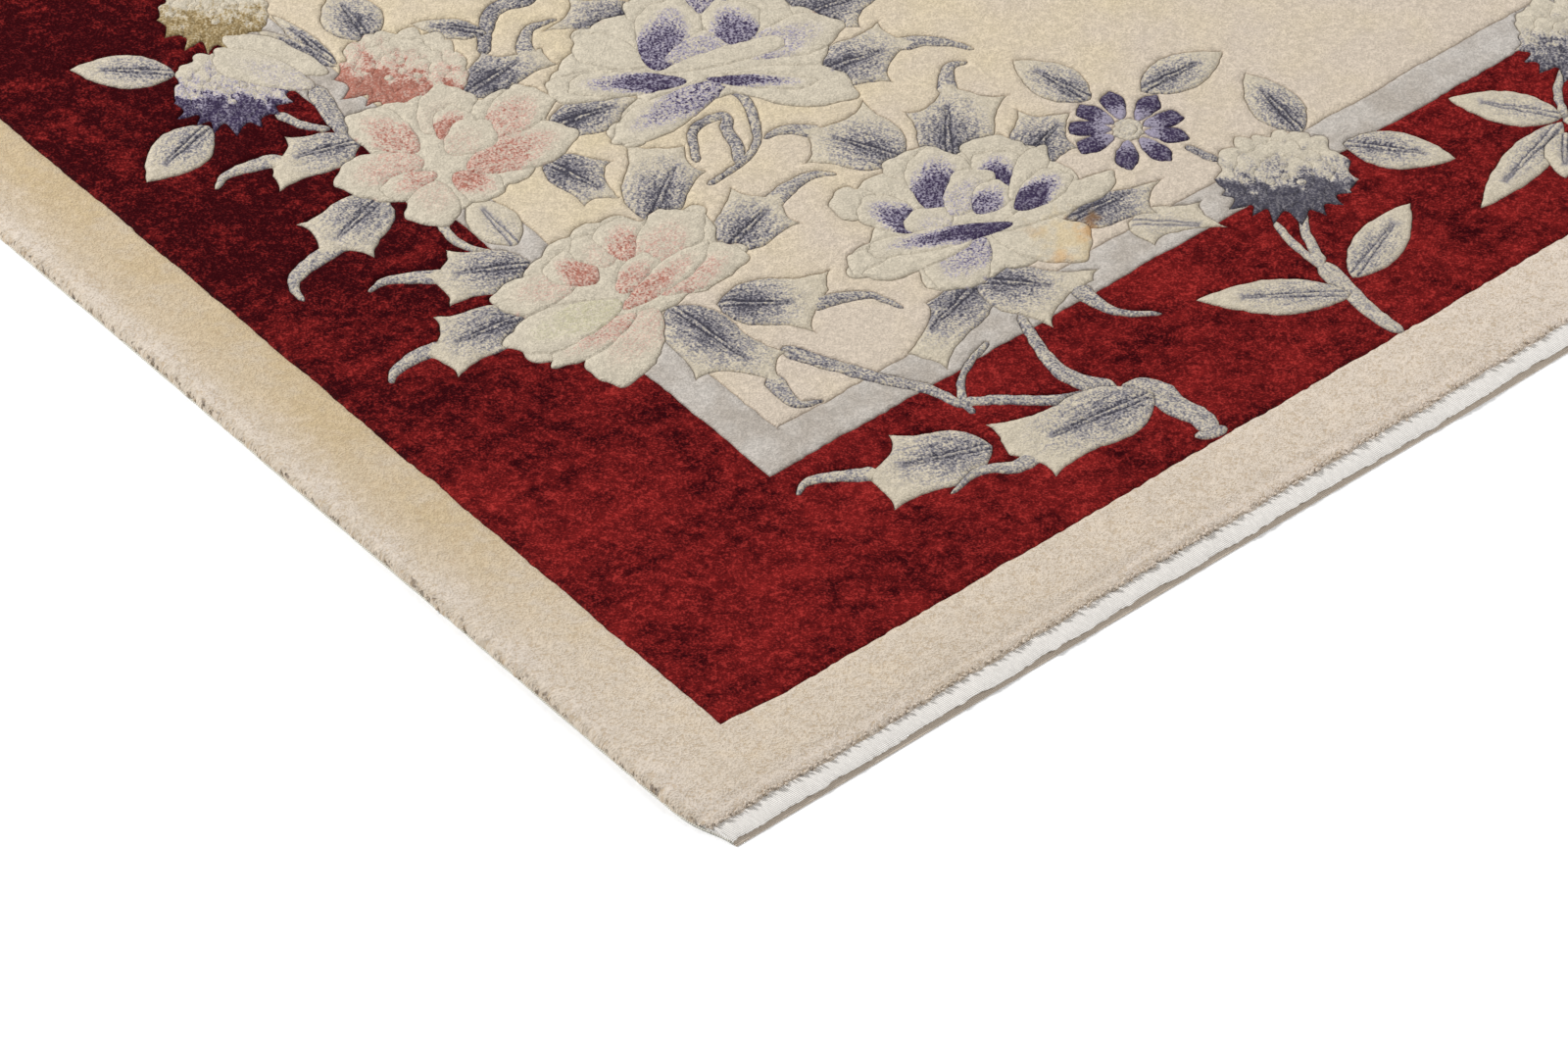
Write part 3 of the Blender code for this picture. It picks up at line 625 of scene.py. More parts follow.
def shown_edges():
    """Outline stretches whose middle isn't under a higher shape or in the same group. The
    third array says which part flower from flower, and so are only lightly carved."""
    shown = []
    for k, shape in enumerate(SHAPES):
        a, b = shape.outline, np.roll(shape.outline, -1, axis=0)
        middle = (a + b) / 2
        hidden = top_shape(middle) > k
        for other in SHAPES:
            if other.group == shape.group and other is not shape:
                hidden |= inside(middle, other.outline)
        shown.append((a[~hidden], b[~hidden]))
    a, b = joined(shown)
    is_flower = np.array([shape.kind in FLOWER_KINDS for shape in SHAPES] + [False])
    sides = [is_flower[top_shape(half)] for half in np.split(beside(a, b, 1.2), 2)]
    return a, b, sides[0] & sides[1]


def shown_veins():
    """Vein stretches that lie on their own leaf's visible part."""
    shown = []
    for group, line in VEINS:
        a, b = line[:-1], line[1:]
        top = top_shape((a + b) / 2)
        own = np.array([k >= 0 and SHAPES[k].group == group for k in top])
        shown.append((a[own], b[own]))
    return joined(shown)


EDGE_A, EDGE_B, LIGHT = shown_edges()
OUTLINE_A, OUTLINE_B = EDGE_A[~LIGHT], EDGE_B[~LIGHT]
RIB_A, RIB_B = shown_veins()
VEIN_A, VEIN_B = joined(((RIB_A, RIB_B), (EDGE_A[LIGHT], EDGE_B[LIGHT])))
print("carved round the motifs:", round(np.linalg.norm(EDGE_B - EDGE_A, axis=1).sum() * MM, 1), "m")

# %% [markdown]
# The borders meet along carved lines too. Only the near half of the rug is worked out:
# the far half is the same drawing turned half round, as the two bouquets are.

# %% Border lines of the near half
HALF = LENGTH / 2
BORDER_SAMPLE = 3.2


def border_edge(k, x, y):
    """How far inside border k a place is: the lesser distance from its side and its end lines,
    which wave a little, as hand-counted ones do."""
    side, end, wave = BORDERS[k]
    from_side = np.minimum(x, WIDTH - x) - side - wave * np.sin(y / 17 + 2 * k) * np.sin(y / 61)
    from_end = y - end - wave * np.sin(x / 19 + k) * np.sin(x / 53 + 1)
    return from_side, from_end


def border_line(k):
    """Down the left side, along the short end and up the right side, pulled onto the waving line."""
    side, end, _ = BORDERS[k]
    corners = (side, HALF), (side, end), (WIDTH - side, end), (WIDTH - side, HALF)
    line = even_steps(corners, BORDER_SAMPLE, False)
    across, along = border_edge(k, line[:, 0], line[:, 1])
    vertical = np.abs(across) < np.abs(along)
    line[vertical, 0] -= (across * np.sign(WIDTH / 2 - line[:, 0]))[vertical]
    line[~vertical, 1] -= along[~vertical]
    return line


def shown_borders():
    """The border lines, without what the bouquet covers."""
    shown = []
    for k in range(len(BORDERS)):
        line = border_line(k)
        a, b = line[:-1], line[1:]
        bare = top_shape((a + b) / 2) < 0
        shown.append((a[bare], b[bare]))
    return joined(shown)


BORDER_A, BORDER_B = shown_borders()
print("carved along the borders:", round(np.linalg.norm(BORDER_B - BORDER_A, axis=1).sum() * MM, 1), "m")

# %% [markdown]
# Height follows from how far a place is from the carved lines. To find that quickly, the
# plan is cut into squares, and each square looks only at the lines that come near it.


# %% Distance to the carved lines
def distance_to(points, a, b, reach):
    """Distance to the nearest stretch a to b: drop a perpendicular on it, held within its ends."""
    best = np.full(len(points), reach)
    cell = np.floor(points / reach).astype(int)
    order = np.lexsort((cell[:, 1], cell[:, 0]))
    breaks = np.flatnonzero(np.any(np.diff(cell[order], axis=0), axis=1)) + 1
    low, high = np.minimum(a, b), np.maximum(a, b)
    for rows in np.split(order, breaks):
        corner = cell[rows[0]] * reach
        near = ((low < corner + 2 * reach) & (high > corner - reach)).all(1)
        if near.any():
            start, run = a[near][None], (b - a)[near][None]
            offset = points[rows][:, None] - start
            share = np.clip((offset * run).sum(2) / np.maximum((run ** 2).sum(2), 1e-9), 0, 1)
            away = np.linalg.norm(offset - share[..., None] * run, axis=2).min(1)
            best[rows] = np.minimum(best[rows], away)
    return best


CUT_A, CUT_B = joined(((OUTLINE_A, OUTLINE_B), (BORDER_A, BORDER_B)))
ALL_A, ALL_B = joined(((CUT_A, CUT_B), (VEIN_A, VEIN_B)))
print("carved stretches:", len(ALL_A))

# %% [markdown]
# Points for the pile: both ends of every carved stretch, two rows of points beside it that
# round its lips, rows along the pile's outer rim, and a lattice that is fine near carving.
# A constrained Delaunay triangulation joins them without crossing a carved line.

# %% Points and triangles of the near half
RIM_ROWS = (0.0, 0.9, 2.3, 4.6, 8.5)


def rim_depth(points):
    """How far a place is in from the pile's own rim."""
    return np.minimum(np.minimum(points[:, 0], WIDTH - points[:, 0]), points[:, 1] - WEB_REACH)


def lattice(step):
    """A brick pattern of points over the half, the same seen from left and from right."""
    across = np.arange(-np.floor(WIDTH / 2 / step), np.floor(WIDTH / 2 / step) + 1) * step + WIDTH / 2
    along = np.arange(WEB_REACH + RIM_ROWS[-1] + 2, HALF - 2, step)
    x, y = np.meshgrid(across, along)
    return pairs(x + (np.arange(len(along)) % 2)[:, None] * step / 2 - step / 4, y)


def rim_points():
    """Rows of points along the two long sides and the short end."""
    along = np.linspace(WEB_REACH, HALF, int((HALF - WEB_REACH) / RIM_STEP) + 1)
    across = np.linspace(0, WIDTH, int(WIDTH / RIM_STEP) + 1)
    rows = [pairs(np.full(len(along), x), along) for r in RIM_ROWS for x in (r, WIDTH - r)]
    rows += [pairs(across, np.full(len(across), WEB_REACH + r)) for r in RIM_ROWS]
    points = np.vstack(rows)
    off_row = np.abs(rim_depth(points)[:, None] - np.array(RIM_ROWS)).min(axis=1)
    return points[off_row < 1e-6]


def seam_points():
    """The line where the halves join, the same from left and from right."""
    half = np.concatenate((RIM_ROWS, np.arange(16, WIDTH / 2, COARSE_LATTICE)))
    half = np.concatenate((half, [side + r for side, _, _ in BORDERS for r in (-3.2, -1.3, 1.3, 3.2)]))
    across = np.unique(np.concatenate((half, WIDTH - half)).round(4))
    return pairs(across, np.full(len(across), HALF))


def pile_points():
    """All points, the carved stretches as pairs of them first."""
    rings = np.vstack([beside(ALL_A, ALL_B, offset) for offset in RINGS])
    size = np.repeat(RINGS, 2 * len(ALL_A))
    rings = rings[distance_to(rings, ALL_A, ALL_B, 6.0) > 0.8 * size]
    fine, coarse, rim = lattice(FINE_LATTICE), lattice(COARSE_LATTICE), lattice(RIM_LATTICE)
    away = distance_to(fine, ALL_A, ALL_B, BUSY_REACH)
    fine = fine[(away > 3.6) & (away < BUSY_REACH) & (rim_depth(fine) >= RIM_BAND)]
    away = distance_to(coarse, ALL_A, ALL_B, BUSY_REACH)
    coarse = coarse[(away >= BUSY_REACH) & (rim_depth(coarse) >= RIM_BAND)]
    rim = rim[rim_depth(rim) < RIM_BAND]
    loose = np.vstack((rings, fine, coarse, rim))
    inner = RIM_ROWS[-1] + 1.5
    held = ((loose[:, 0] > inner) & (loose[:, 0] < WIDTH - inner) & (loose[:, 1] > WEB_REACH + inner)
            & (loose[:, 1] < HALF - 1.5))
    return np.vstack((ALL_A, ALL_B, loose[held], rim_points(), seam_points()))


def triangulate(points, line_count):
    """Triangles over all the points that keep the first line_count pairs as edges."""
    edges = [(k, k + line_count) for k in range(line_count)]
    found = delaunay_2d_cdt([Vector(p) for p in points.tolist()], edges, [], 0, 0.02, False)
    return np.array([tuple(v) for v in found[0]]), np.array(found[2])


PLAN, TRIANGLES = triangulate(pile_points(), len(ALL_A))
print("near half of the pile:", len(PLAN), "points,", len(TRIANGLES), "triangles")

# %% [markdown]
# A carved line is a soft notch: its depth falls off as the bell curve of the distance.
# Inside a motif the pile swells away from its outline. Old pile is never level, so two
# sizes of gentle unevenness go on top, and the rim sheds its tufts unevenly.


# %% Heights of the pile
RIM_ROUNDING = (0.0, 0.52, 0.76, 0.91, 1.0)     # share of the height at each row of RIM_ROWS


def soft_noise(x, y, size, seed):
    """Random numbers on a grid of that size, blended smoothly between neighbours, -1 to 1."""
    table = np.random.default_rng(seed).uniform(-1, 1, (256, 256))
    u, v = x / size, y / size
    i, j = np.floor(u).astype(int), np.floor(v).astype(int)
    s, t = u - i, v - j
    s, t = s * s * (3 - 2 * s), t * t * (3 - 2 * t)
    near = table[i % 256, j % 256] * (1 - s) + table[(i + 1) % 256, j % 256] * s
    far = table[i % 256, (j + 1) % 256] * (1 - s) + table[(i + 1) % 256, (j + 1) % 256] * s
    return near * (1 - t) + far * t


def off_seam(y):
    """1, falling to 0 over the last 60 mm before the seam, where the halves have to meet."""
    return np.clip((HALF - y) / 60, 0, 1)


def swell_of(points):
    """How much each point's motif swells, from 0 on the ground."""
    swell = np.array([shape.swell for shape in SHAPES] + [0.0])
    return swell[top_shape(points)]


def pile_height(points):
    """Ground, less the carved notch, plus the swell of the motifs, rounded off at the rim. Also
    returns how deep in a notch each point is, and how near a leaf's vein."""
    x, y = points.T
    to_cut = distance_to(points, CUT_A, CUT_B, BUSY_REACH)
    to_vein = distance_to(points, VEIN_A, VEIN_B, 8.0)
    notch = np.maximum(np.exp(-(to_cut / CUT_RUN) ** 2), 0.75 * np.exp(-(to_vein / (0.8 * CUT_RUN)) ** 2))
    vein = np.exp(-(distance_to(points, RIB_A, RIB_B, 8.0) / 1.3) ** 2)
    crown = CROWN * swell_of(points) * (1 - np.exp(-(to_cut / CROWN_RUN) ** 1.5))
    calm, depth = off_seam(y), rim_depth(points)
    tufts = soft_noise(x, y, 7, 8) + 0.6 * soft_noise(x, y, 4.2, 9) - 0.5
    tufted = np.clip(1 - depth / RIM_BAND, 0, 1) * tufts
    uneven = calm * (0.25 * soft_noise(x, y, 8, 1) + 0.3 * soft_noise(x, y, 45, 2) + 0.7 * tufted)
    furrow = calm * np.exp(-((y - WEB_REACH - 15) / 2.2) ** 2) * (0.7 + 0.5 * soft_noise(x, y, 50, 20))
    top = GROUND - CUT_DEPTH * notch + crown + uneven - furrow
    foot = np.where(y < WEB_REACH + 9, WEB_THICKNESS - 0.4, 0.8)
    sides = np.interp(depth, RIM_ROWS, RIM_ROUNDING)
    by_web = 1 - 0.8 * np.exp(-np.maximum(y - WEB_REACH, 0) / 10)
    rounding = sides * np.where(y < WEB_REACH + 60, by_web, 1)
    lump = 1 + 0.10 * calm * soft_noise(x, y, 4.5, 3) * (depth < 6)
    return foot + (top - foot) * rounding * lump, notch, vein


def ragged(points):
    """Hand carving wavers by most of a millimetre, and the rim's tufts stray more."""
    x, y = points.T
    calm = off_seam(y) * np.clip(rim_depth(points) / 5, 0.0, 1)
    loose = off_seam(y) * np.clip(1 - rim_depth(points) / 6, 0, 1)
    dx, dy = (0.8 * calm * soft_noise(x, y, 6, seed) + 0.9 * loose * soft_noise(x, y, 6, seed + 2)
              for seed in (4, 5))
    by_web = np.clip(1 - (y - WEB_REACH) / 20, 0, 1)
    dy = dy + by_web * (1.8 * soft_noise(x, 0 * y, 34, 13) + 1.1 * soft_noise(x, 0 * y, 11, 14))
    return points + pairs(dx, dy)


HEIGHT, NOTCH, VEIN = pile_height(PLAN)
print("pile from", HEIGHT.min().round(1), "to", HEIGHT.max().round(1), "mm above the floor")

# %% [markdown]
# Each knot of a motif is tied in one of its three yarns, and the share of the dark one
# changes from root to tip. That share could be painted as a picture. Here it is a formula
# of the place along and across each motif, kept as numbers at every triangle's corners.


# %% Dye of every triangle's corners
def eased(x):
    """0 below 0, 1 above 1, and a smooth rise between."""
    x = np.clip(x, 0, 1)
    return x * x * (3 - 2 * x)


def shading(points, index):
    """Share of dark yarn, and the millimetres along and across each motif. Leaves are dark
    round a third of their length, but for the rib in their middle. Petals have a dark tongue
    from the root, inside a pale rim. Double blooms are dark on one side, up to a line that
    runs in and out like teeth."""
    def per_shape(field):
        return np.array([getattr(shape, field) for shape in SHAPES], float)[index]
    kind = np.array([shape.kind for shape in SHAPES])[index]
    offset, way = points - per_shape("origin"), per_shape("way")
    along, across = (offset * way).sum(1), offset[:, 0] * way[:, 1] - offset[:, 1] * way[:, 0]
    u, v = along / per_shape("length"), across / (per_shape("width") / 2)
    teeth = np.abs(np.sin(6.5 * np.arctan2(offset[:, 1], offset[:, 0]) + np.linalg.norm(offset, axis=1) / 11))
    side = u - 0.35 * teeth + 0.3 * soft_noise(*points.T, 9, 15)
    leaf = np.exp(-((u - 0.3) / 0.36) ** 2 - (v / 0.72) ** 2) * (0.98 - 0.5 * np.exp(-(across / 1.9) ** 2))
    dark = np.select([kind == "leaf", kind == "petal", (kind == "bloom") | (kind == "tier"), kind == "daisy"],
                     [leaf, 0.92 * eased((1.3 - 1.3 * u - 0.75 * v ** 2) / 0.62),
                      0.68 * eased((side + 0.24) / 0.3) + 0.32 * eased((side + 0.72) / 0.8),
                      0.3 + 0.7 * eased(2.2 * u - 0.2)], 1.0)
    return np.clip(dark * per_shape("strength"), 0, 1.1), along, across


def linear(colours):
    """Screen colours, 0 to 255, as the light they stand for."""
    c = np.asarray(colours, float) / 255
    return np.where(c < 0.04045, c / 12.92, ((c + 0.055) / 1.055) ** 2.4)


CENTRES = PLAN[TRIANGLES].mean(axis=1)
TOP = top_shape(CENTRES)
LEVEL = sum((np.minimum(*border_edge(k, *CENTRES.T)) > 0).astype(int) for k in range(len(BORDERS)))
IS_BLOOM = np.array([shape.kind not in ("leaf", "stem") for shape in SHAPES] + [False])[TOP]
PIECES = {
    "guard_border_pile": (TOP < 0) & (LEVEL == 0),
    "red_border_pile": (TOP < 0) & (LEVEL == 1),
    "grey_band_pile": (TOP < 0) & (LEVEL == 2),
    "cream_field_pile": (TOP < 0) & (LEVEL == 3),
    "leaf_and_stem_pile": (TOP >= 0) & ~IS_BLOOM,
    "flower_pile": IS_BLOOM,
}
print({name: int(chosen.sum()) * 2 for name, chosen in PIECES.items()}, "triangles")

# %% [markdown]
# One colour area is one mesh object with its own silk. All of them are cut from the same
# triangles, so they meet point to point, as areas of one cloth do. Real edges are never
# quite straight, so every point also strays a little, more towards the rug's rim.


# %% Build the pile's pieces
CORNER_PULL, GUARD_PULL = 13.0, 7.0    # millimetres


def corner_pull(points):
    """Each corner is drawn in along the short end, and the guard's inner corner away from the
    end. Both fall off as the bell curve of the distance from their own spots."""
    from_side = np.minimum(points[:, 0], WIDTH - points[:, 0])
    from_end = np.minimum(points[:, 1], LENGTH - points[:, 1])
    dx = CORNER_PULL * np.exp(-(from_side / 35) ** 2 - (from_end / 30) ** 2)
    dy = GUARD_PULL * np.exp(-((from_side - 80) ** 2 + (from_end - 90) ** 2) / 50 ** 2)
    return pairs(dx, dy) * np.sign((WIDTH / 2, HALF) - points)


def wander(points):
    """The rug's edges stray from straight by the cube of how near they are, times a wave."""
    x, y = points[:, 0] * MM, points[:, 1] * MM
    over_x, over_y = 2 * points[:, 0] / WIDTH - 1, 2 * points[:, 1] / LENGTH - 1
    dx = over_x ** 3 * (np.sin(6.1 * y + 0.7) + 0.5 * np.sin(14.3 * y) - 1.5) / 3
    dy = over_y ** 3 * (np.sin(7.3 * x + 2.1) + 0.5 * np.sin(17.9 * x) - 1.5) / 3
    return points + EDGE_WANDER * pairs(dx, dy) + corner_pull(points)


def mesh_object(name, points, triangles, material):
    """A mesh from whole arrays of points in metres and corner numbers."""
    mesh = bpy.data.meshes.new(name)
    mesh.vertices.add(len(points))
    mesh.vertices.foreach_set("co", points.astype(np.float32).ravel())
    mesh.loops.add(triangles.size)
    mesh.loops.foreach_set("vertex_index", triangles.astype(np.int32).ravel())
    mesh.polygons.add(len(triangles))
    mesh.polygons.foreach_set("loop_start", np.arange(0, triangles.size, 3, dtype=np.int32))
    mesh.polygons.foreach_set("loop_total", np.full(len(triangles), 3, np.int32))
    mesh.polygons.foreach_set("use_smooth", np.ones(len(triangles), bool))
    mesh.update(calc_edges=True)
    mesh.materials.append(material)
    piece = bpy.data.objects.new(name, mesh)
    bpy.context.collection.objects.link(piece)
    return piece


def set_numbers(piece, name, values, domain):
    """Keep one number for each point or corner, for the material to read."""
    layer = piece.data.attributes.new(name, "FLOAT", domain)
    layer.data.foreach_set("value", np.asarray(values, np.float32).ravel())


def set_colours(piece, name, colours):
    """Keep one colour for each corner."""
    layer = piece.data.attributes.new(name, "FLOAT_COLOR", "CORNER")
    rgba = np.column_stack((colours, np.ones(len(colours)))).astype(np.float32)
    layer.data.foreach_set("color", rgba.ravel())


def both_halves(near):
    """Plan points beside those of the same drawing turned half round, all astray a little."""
    return wander(np.vstack((near, (WIDTH, LENGTH) - near)))


def pile_piece(title, chosen, material):
    """One colour area of the pile, from both halves, joined where they meet."""
    kept, corners = np.unique(TRIANGLES[chosen], return_inverse=True)
    corners = corners.reshape(-1, 3)
    flat = both_halves(ragged(PLAN[kept]))
    points = place(flat[:, 0], flat[:, 1], np.tile(HEIGHT[kept], 2))
    _, first, merged = np.unique(points.round(6), axis=0, return_index=True, return_inverse=True)
    triangles = merged.ravel()[np.vstack((corners, corners + len(kept)))]
    piece = mesh_object(title, points[first], triangles, material)
    for label, values in (("notch", NOTCH), ("vein", VEIN)):
        set_numbers(piece, label, np.tile(values[kept], 2)[first], "POINT")
    if (TOP[chosen] >= 0).all():
        index = np.repeat(TOP[chosen], 3)
        shade, along, across = shading(PLAN[kept][corners.ravel()], index)
        for label, values in (("shade", shade), ("along", along * MM), ("across", across * MM)):
            set_numbers(piece, label, np.tile(values, 2), "CORNER")
        for label, part, yarns in (("dark", "dye", YARNS), ("haze", "dye", HAZE_YARNS),
                                   ("pale", "pale", PALE_YARNS)):
            colours = linear([yarns[getattr(shape, part)] for shape in SHAPES])[index]
            set_colours(piece, label, np.tile(colours, (2, 1)))
    print(title, len(triangles), "triangles")
    return piece


# %% [markdown]
# Shader maths reads best as ordinary sums, so a small class wraps a socket: adding or
# multiplying two of them adds the Math node. Every other node comes from `node`.


# %% A socket that can be calculated with
class Wire:
    """A socket in a material's node tree. Sums and products of wires add Math nodes."""

    def __init__(self, tree, socket=None):
        self.tree, self.socket = tree, socket

    def node(self, kind, settings=(), inputs=(), output=0):
        """Add a node: its settings first, then the values or links of its sockets."""
        made = self.tree.nodes.new(kind)
        for name, value in dict(settings).items():
            setattr(made, name, value)
        for key, value in dict(inputs).items():
            if isinstance(value, Wire):
                self.tree.links.new(value.socket, made.inputs[key])
            else:
                made.inputs[key].default_value = value
        return Wire(self.tree, made.outputs[output])

    def maths(self, operation, *values, clamp=False):
        """A Math node on these values."""
        settings = {"operation": operation, "use_clamp": clamp}
        return self.node("ShaderNodeMath", settings, dict(enumerate(values)))

    def __add__(self, other):
        return self.maths("ADD", self, other)

    def __sub__(self, other):
        return self.maths("SUBTRACT", self, other)

    def __rsub__(self, other):
        return self.maths("SUBTRACT", other, self)

    def __mul__(self, other):
        return self.maths("MULTIPLY", self, other)

    __radd__, __rmul__ = __add__, __mul__

    def held(self):
        """The same number, kept from 0 to 1."""
        return self.maths("ADD", self, 0.0, clamp=True)

    def step(self, low, high):
        """0 below low, 1 above high, and a smooth rise between."""
        return self.node("ShaderNodeMapRange", {"interpolation_type": "SMOOTHSTEP"},
                         {0: self, 1: low, 2: high, 3: 0.0, 4: 1.0})


def yarn(*colour):
    """A yarn's screen colour as a shader colour."""
    return (*linear(colour), 1.0)


def blend_colours(share, one, other):
    """From one colour to the other as share goes from 0 to 1."""
    settings = {"data_type": "RGBA", "clamp_factor": True}
    return share.node("ShaderNodeMix", settings, {0: share, 6: one, 7: other}, 2)


def scaled(colour, amount):
    """A colour made lighter or darker by a number."""
    return amount.node("ShaderNodeVectorMath", {"operation": "SCALE"}, {0: colour, 3: amount})


def noise(where, size_mm, detail=2.0, stretch=(1, 1, 1)):
    """Cloudy values from 0 to 1 with patches about size_mm across, stretched along the axes."""
    shrink = tuple(1 / s for s in stretch)
    drawn = where.node("ShaderNodeVectorMath", {"operation": "MULTIPLY"}, {0: where, 1: shrink})
    return where.node("ShaderNodeTexNoise", {}, {"Vector": drawn, "Scale": 1000 / size_mm, "Detail": detail})


def start_material(name):
    """An empty material with a Principled shader, and its Object coordinates in metres."""
    material = bpy.data.materials.new(name)
    material.use_nodes = True
    shader = material.node_tree.nodes["Principled BSDF"]
    where = Wire(material.node_tree).node("ShaderNodeTexCoord", output="Object")
    return material, shader, where


def attribute(where, name, output="Fac"):
    """What the mesh keeps under that name: a number, or a colour from its Color output."""
    return where.node("ShaderNodeAttribute", {"attribute_name": name}, output=output)


def finish_silk(shader, where, colour, lift, roughness, height_mm, gloss=0.12, sheen=0.04):
    """Feed a cut-silk surface: dull from above, with a little sheen where the pile leans away."""
    tree = where.tree
    tree.links.new(colour.socket, shader.inputs["Base Color"])
    bump = where.node("ShaderNodeBump", {}, {"Strength": 1.0, "Distance": height_mm * MM, "Height": lift})
    tree.links.new(bump.socket, shader.inputs["Normal"])
    for name, value in (("Roughness", roughness), ("Specular IOR Level", gloss), ("Sheen Weight", sheen),
                        ("Sheen Roughness", 0.45)):
        shader.inputs[name].default_value = value


# %% [markdown]
# Knots are about 1.5 mm apart and their cut ends spread into each other, which shows as a
# fine grain of light tips and dark gaps. The pile leans an eighth of a turn from the rug's
# edges, so every pattern in it is drawn out that way. An image of silk would show its
# repeats on so large a rug, while noise on Object coordinates never repeats.


# %% What all silks share
def axis_of(where, axis):
    """One of the place's numbers: X or Y in metres from the rug's middle, Z from the floor."""
    return where.node("ShaderNodeSeparateXYZ", {}, {0: where}, axis)


def plan_of(where):
    """The place on the rug's plan as two wires, in metres from its middle."""
    return axis_of(where, "X"), axis_of(where, "Y")


def leaning(where):
    """The place seen along and across the way the pile leans, an eighth of a turn from the
    rug's edges, and bent a little from patch to patch."""
    x, y = plan_of(where)
    bend = 0.012 * noise(where, 60, 1.0)
    inputs = {"X": (x + y) * 0.71 + bend, "Y": (x - y) * 0.71, "Z": bend}
    return where.node("ShaderNodeCombineXYZ", {}, inputs)


def grain_of(where):
    """Light tips and dark gaps of the cut knots, drawn out the way the pile leans, with
    clumps of a few knots."""
    leant = leaning(where)
    knots, clumps = (noise(leant, size, 2.0, (1, 1.4, 1)) for size in (1.5, 4.2))
    return (0.6 * knots + 0.4 * clumps).step(0.32, 0.68)


def from_edges(where):
    """How far in from the long sides and from the short ends, as two wires."""
    x, y = plan_of(where)
    return WIDTH / 2 * MM - x.maths("ABSOLUTE", x), HALF * MM - y.maths("ABSOLUTE", y)


def carved(where, colour, amount=0.5, shade=(120, 96, 76)):
    """Darken the bottom of the carved lines: painted shade, where the groove hides the pile from the light.
    """
    dark = where.node("ShaderNodeMix", {"data_type": "RGBA", "blend_type": "MULTIPLY"},
                      {0: 1.0, 6: colour, 7: yarn(*shade)}, 2)
    return blend_colours(attribute(where, "notch").step(0.3, 1.0) * amount, colour, dark)


# %% [markdown]
# The borders and the field are plain, but no plain pile is one colour. A wide mottle shows
# where feet and rollers pressed it different ways, small dabs where tufts fell together,
# and faint bands run across it from one dye lot to the next. Light is painted in too: the
# red has painted shade along the long sides, the guard a painted highlight along its rim.


# %% Silk for the borders and the field
def red_silk():
    """Deep red in dabs from wine to scarlet, with bright knot tips. It is darker along the long
    sides: painted shade, standing in for the nap there leaning away from the light.
    """
    material, shader, where = start_material("red_silk")
    grain = grain_of(where)
    mottle, dabs = noise(where, 75, 3.0), noise(leaning(where), 12, 3.0, (1, 1.4, 1))
    bands = noise(where, 10, 2.0, (18, 1, 1))
    in_from_side, in_from_end = from_edges(where)
    # Painted shade: the red is darker within about 0.2 to 0.6 m of the long sides, away from the short ends
    on_side = (1 - in_from_side.step(0.2, 0.6)) * in_from_end.step(0.2, 0.9)
    light = (0.36 + 0.8 * (mottle - 0.5) + 1.1 * (dabs - 0.5) + 0.5 * (bands - 0.5) + 0.25 * (grain - 0.5)
             - 0.36 * on_side).held()
    colour = scaled(blend_colours(light, yarn(52, 0, 6), yarn(152, 36, 34)), 0.78 + 0.36 * grain)
    colour = blend_colours(grain.step(0.5, 1.0) * (0.12 + 0.4 * light), colour, yarn(190, 64, 58))
    finish_silk(shader, where, carved(where, colour, 0.3), grain, 0.62, 0.6, 0.04, 0.0)
    return material


def guard_silk():
    """Ecru, golden along the inner part of the sides and paler in drifts. Towards the rim it pales
    further, a painted highlight where the rim's tufts catch the light. The side face near the floor
    is greyer, with a dark spot here and there: painted shade at the pile's foot."""
    material, shader, where = start_material("cream_guard_silk")
    grain, patches = grain_of(where), noise(where, 60, 4.0)
    in_from_side, in_from_end = from_edges(where)
    on_side = in_from_side.step(0.006, 0.03) * (1.0 - in_from_side.step(0.09, 0.12))
    on_side = on_side * in_from_end.step(0.08, 0.5)
    drifts = noise(leaning(where), 10, 3.0, (1, 1.5, 1))
    dappled = 1.5 * (drifts - 0.5) + 0.5 * (patches - 0.5)
    golden = (on_side * (0.7 + 0.4 * patches.step(0.3, 0.7)) + dappled).held()
    base = blend_colours(golden, yarn(211, 197, 179), yarn(195, 174, 139))
    # Painted highlight: lighter at the rim of the long sides and beside the webs, where the rim's tufts catch
    # the light
    rim_highlight = 0.95 * (1.0 - in_from_side.step(0.005, 0.065)) + (1.0 - in_from_end.step(0.028, 0.05))
    pale_drifts_and_rim_highlight = (rim_highlight * (0.3 + patches.step(0.3, 0.7)) + 1.2 * (drifts - 0.5)).held() * 0.8
    base = blend_colours(pale_drifts_and_rim_highlight, base, yarn(209, 197, 184))
    far_right = axis_of(where, "X").step(-0.9, 0.3)
    base = blend_colours(far_right * (1.0 - in_from_end.step(0.08, 0.3)) * 0.6, base, yarn(224, 210, 196))
    # Painted shade: within 10 mm of a long side and below about 7.5 to 10 mm, the pile's side face turns
    # greyer with dark spots at its foot
    under = (1.0 - in_from_side.step(0.005, 0.01)) * (1.0 - axis_of(where, "Z").step(0.0075, 0.0103))
    foot = blend_colours(noise(where, 9, 2.0).step(0.6, 0.7), yarn(196, 183, 166), yarn(112, 98, 86))
    base = blend_colours(under * 0.8, base, foot)
    gaps = blend_colours(grain.step(-0.4, 0.6), yarn(184, 160, 128), base)
    colour = scaled(gaps, 0.91 + 0.14 * grain + 0.1 * (patches - 0.5) + 0.26 * (drifts - 0.5))
    finish_silk(shader, where, carved(where, colour, 0.15), grain, 0.66, 0.6)
    return material


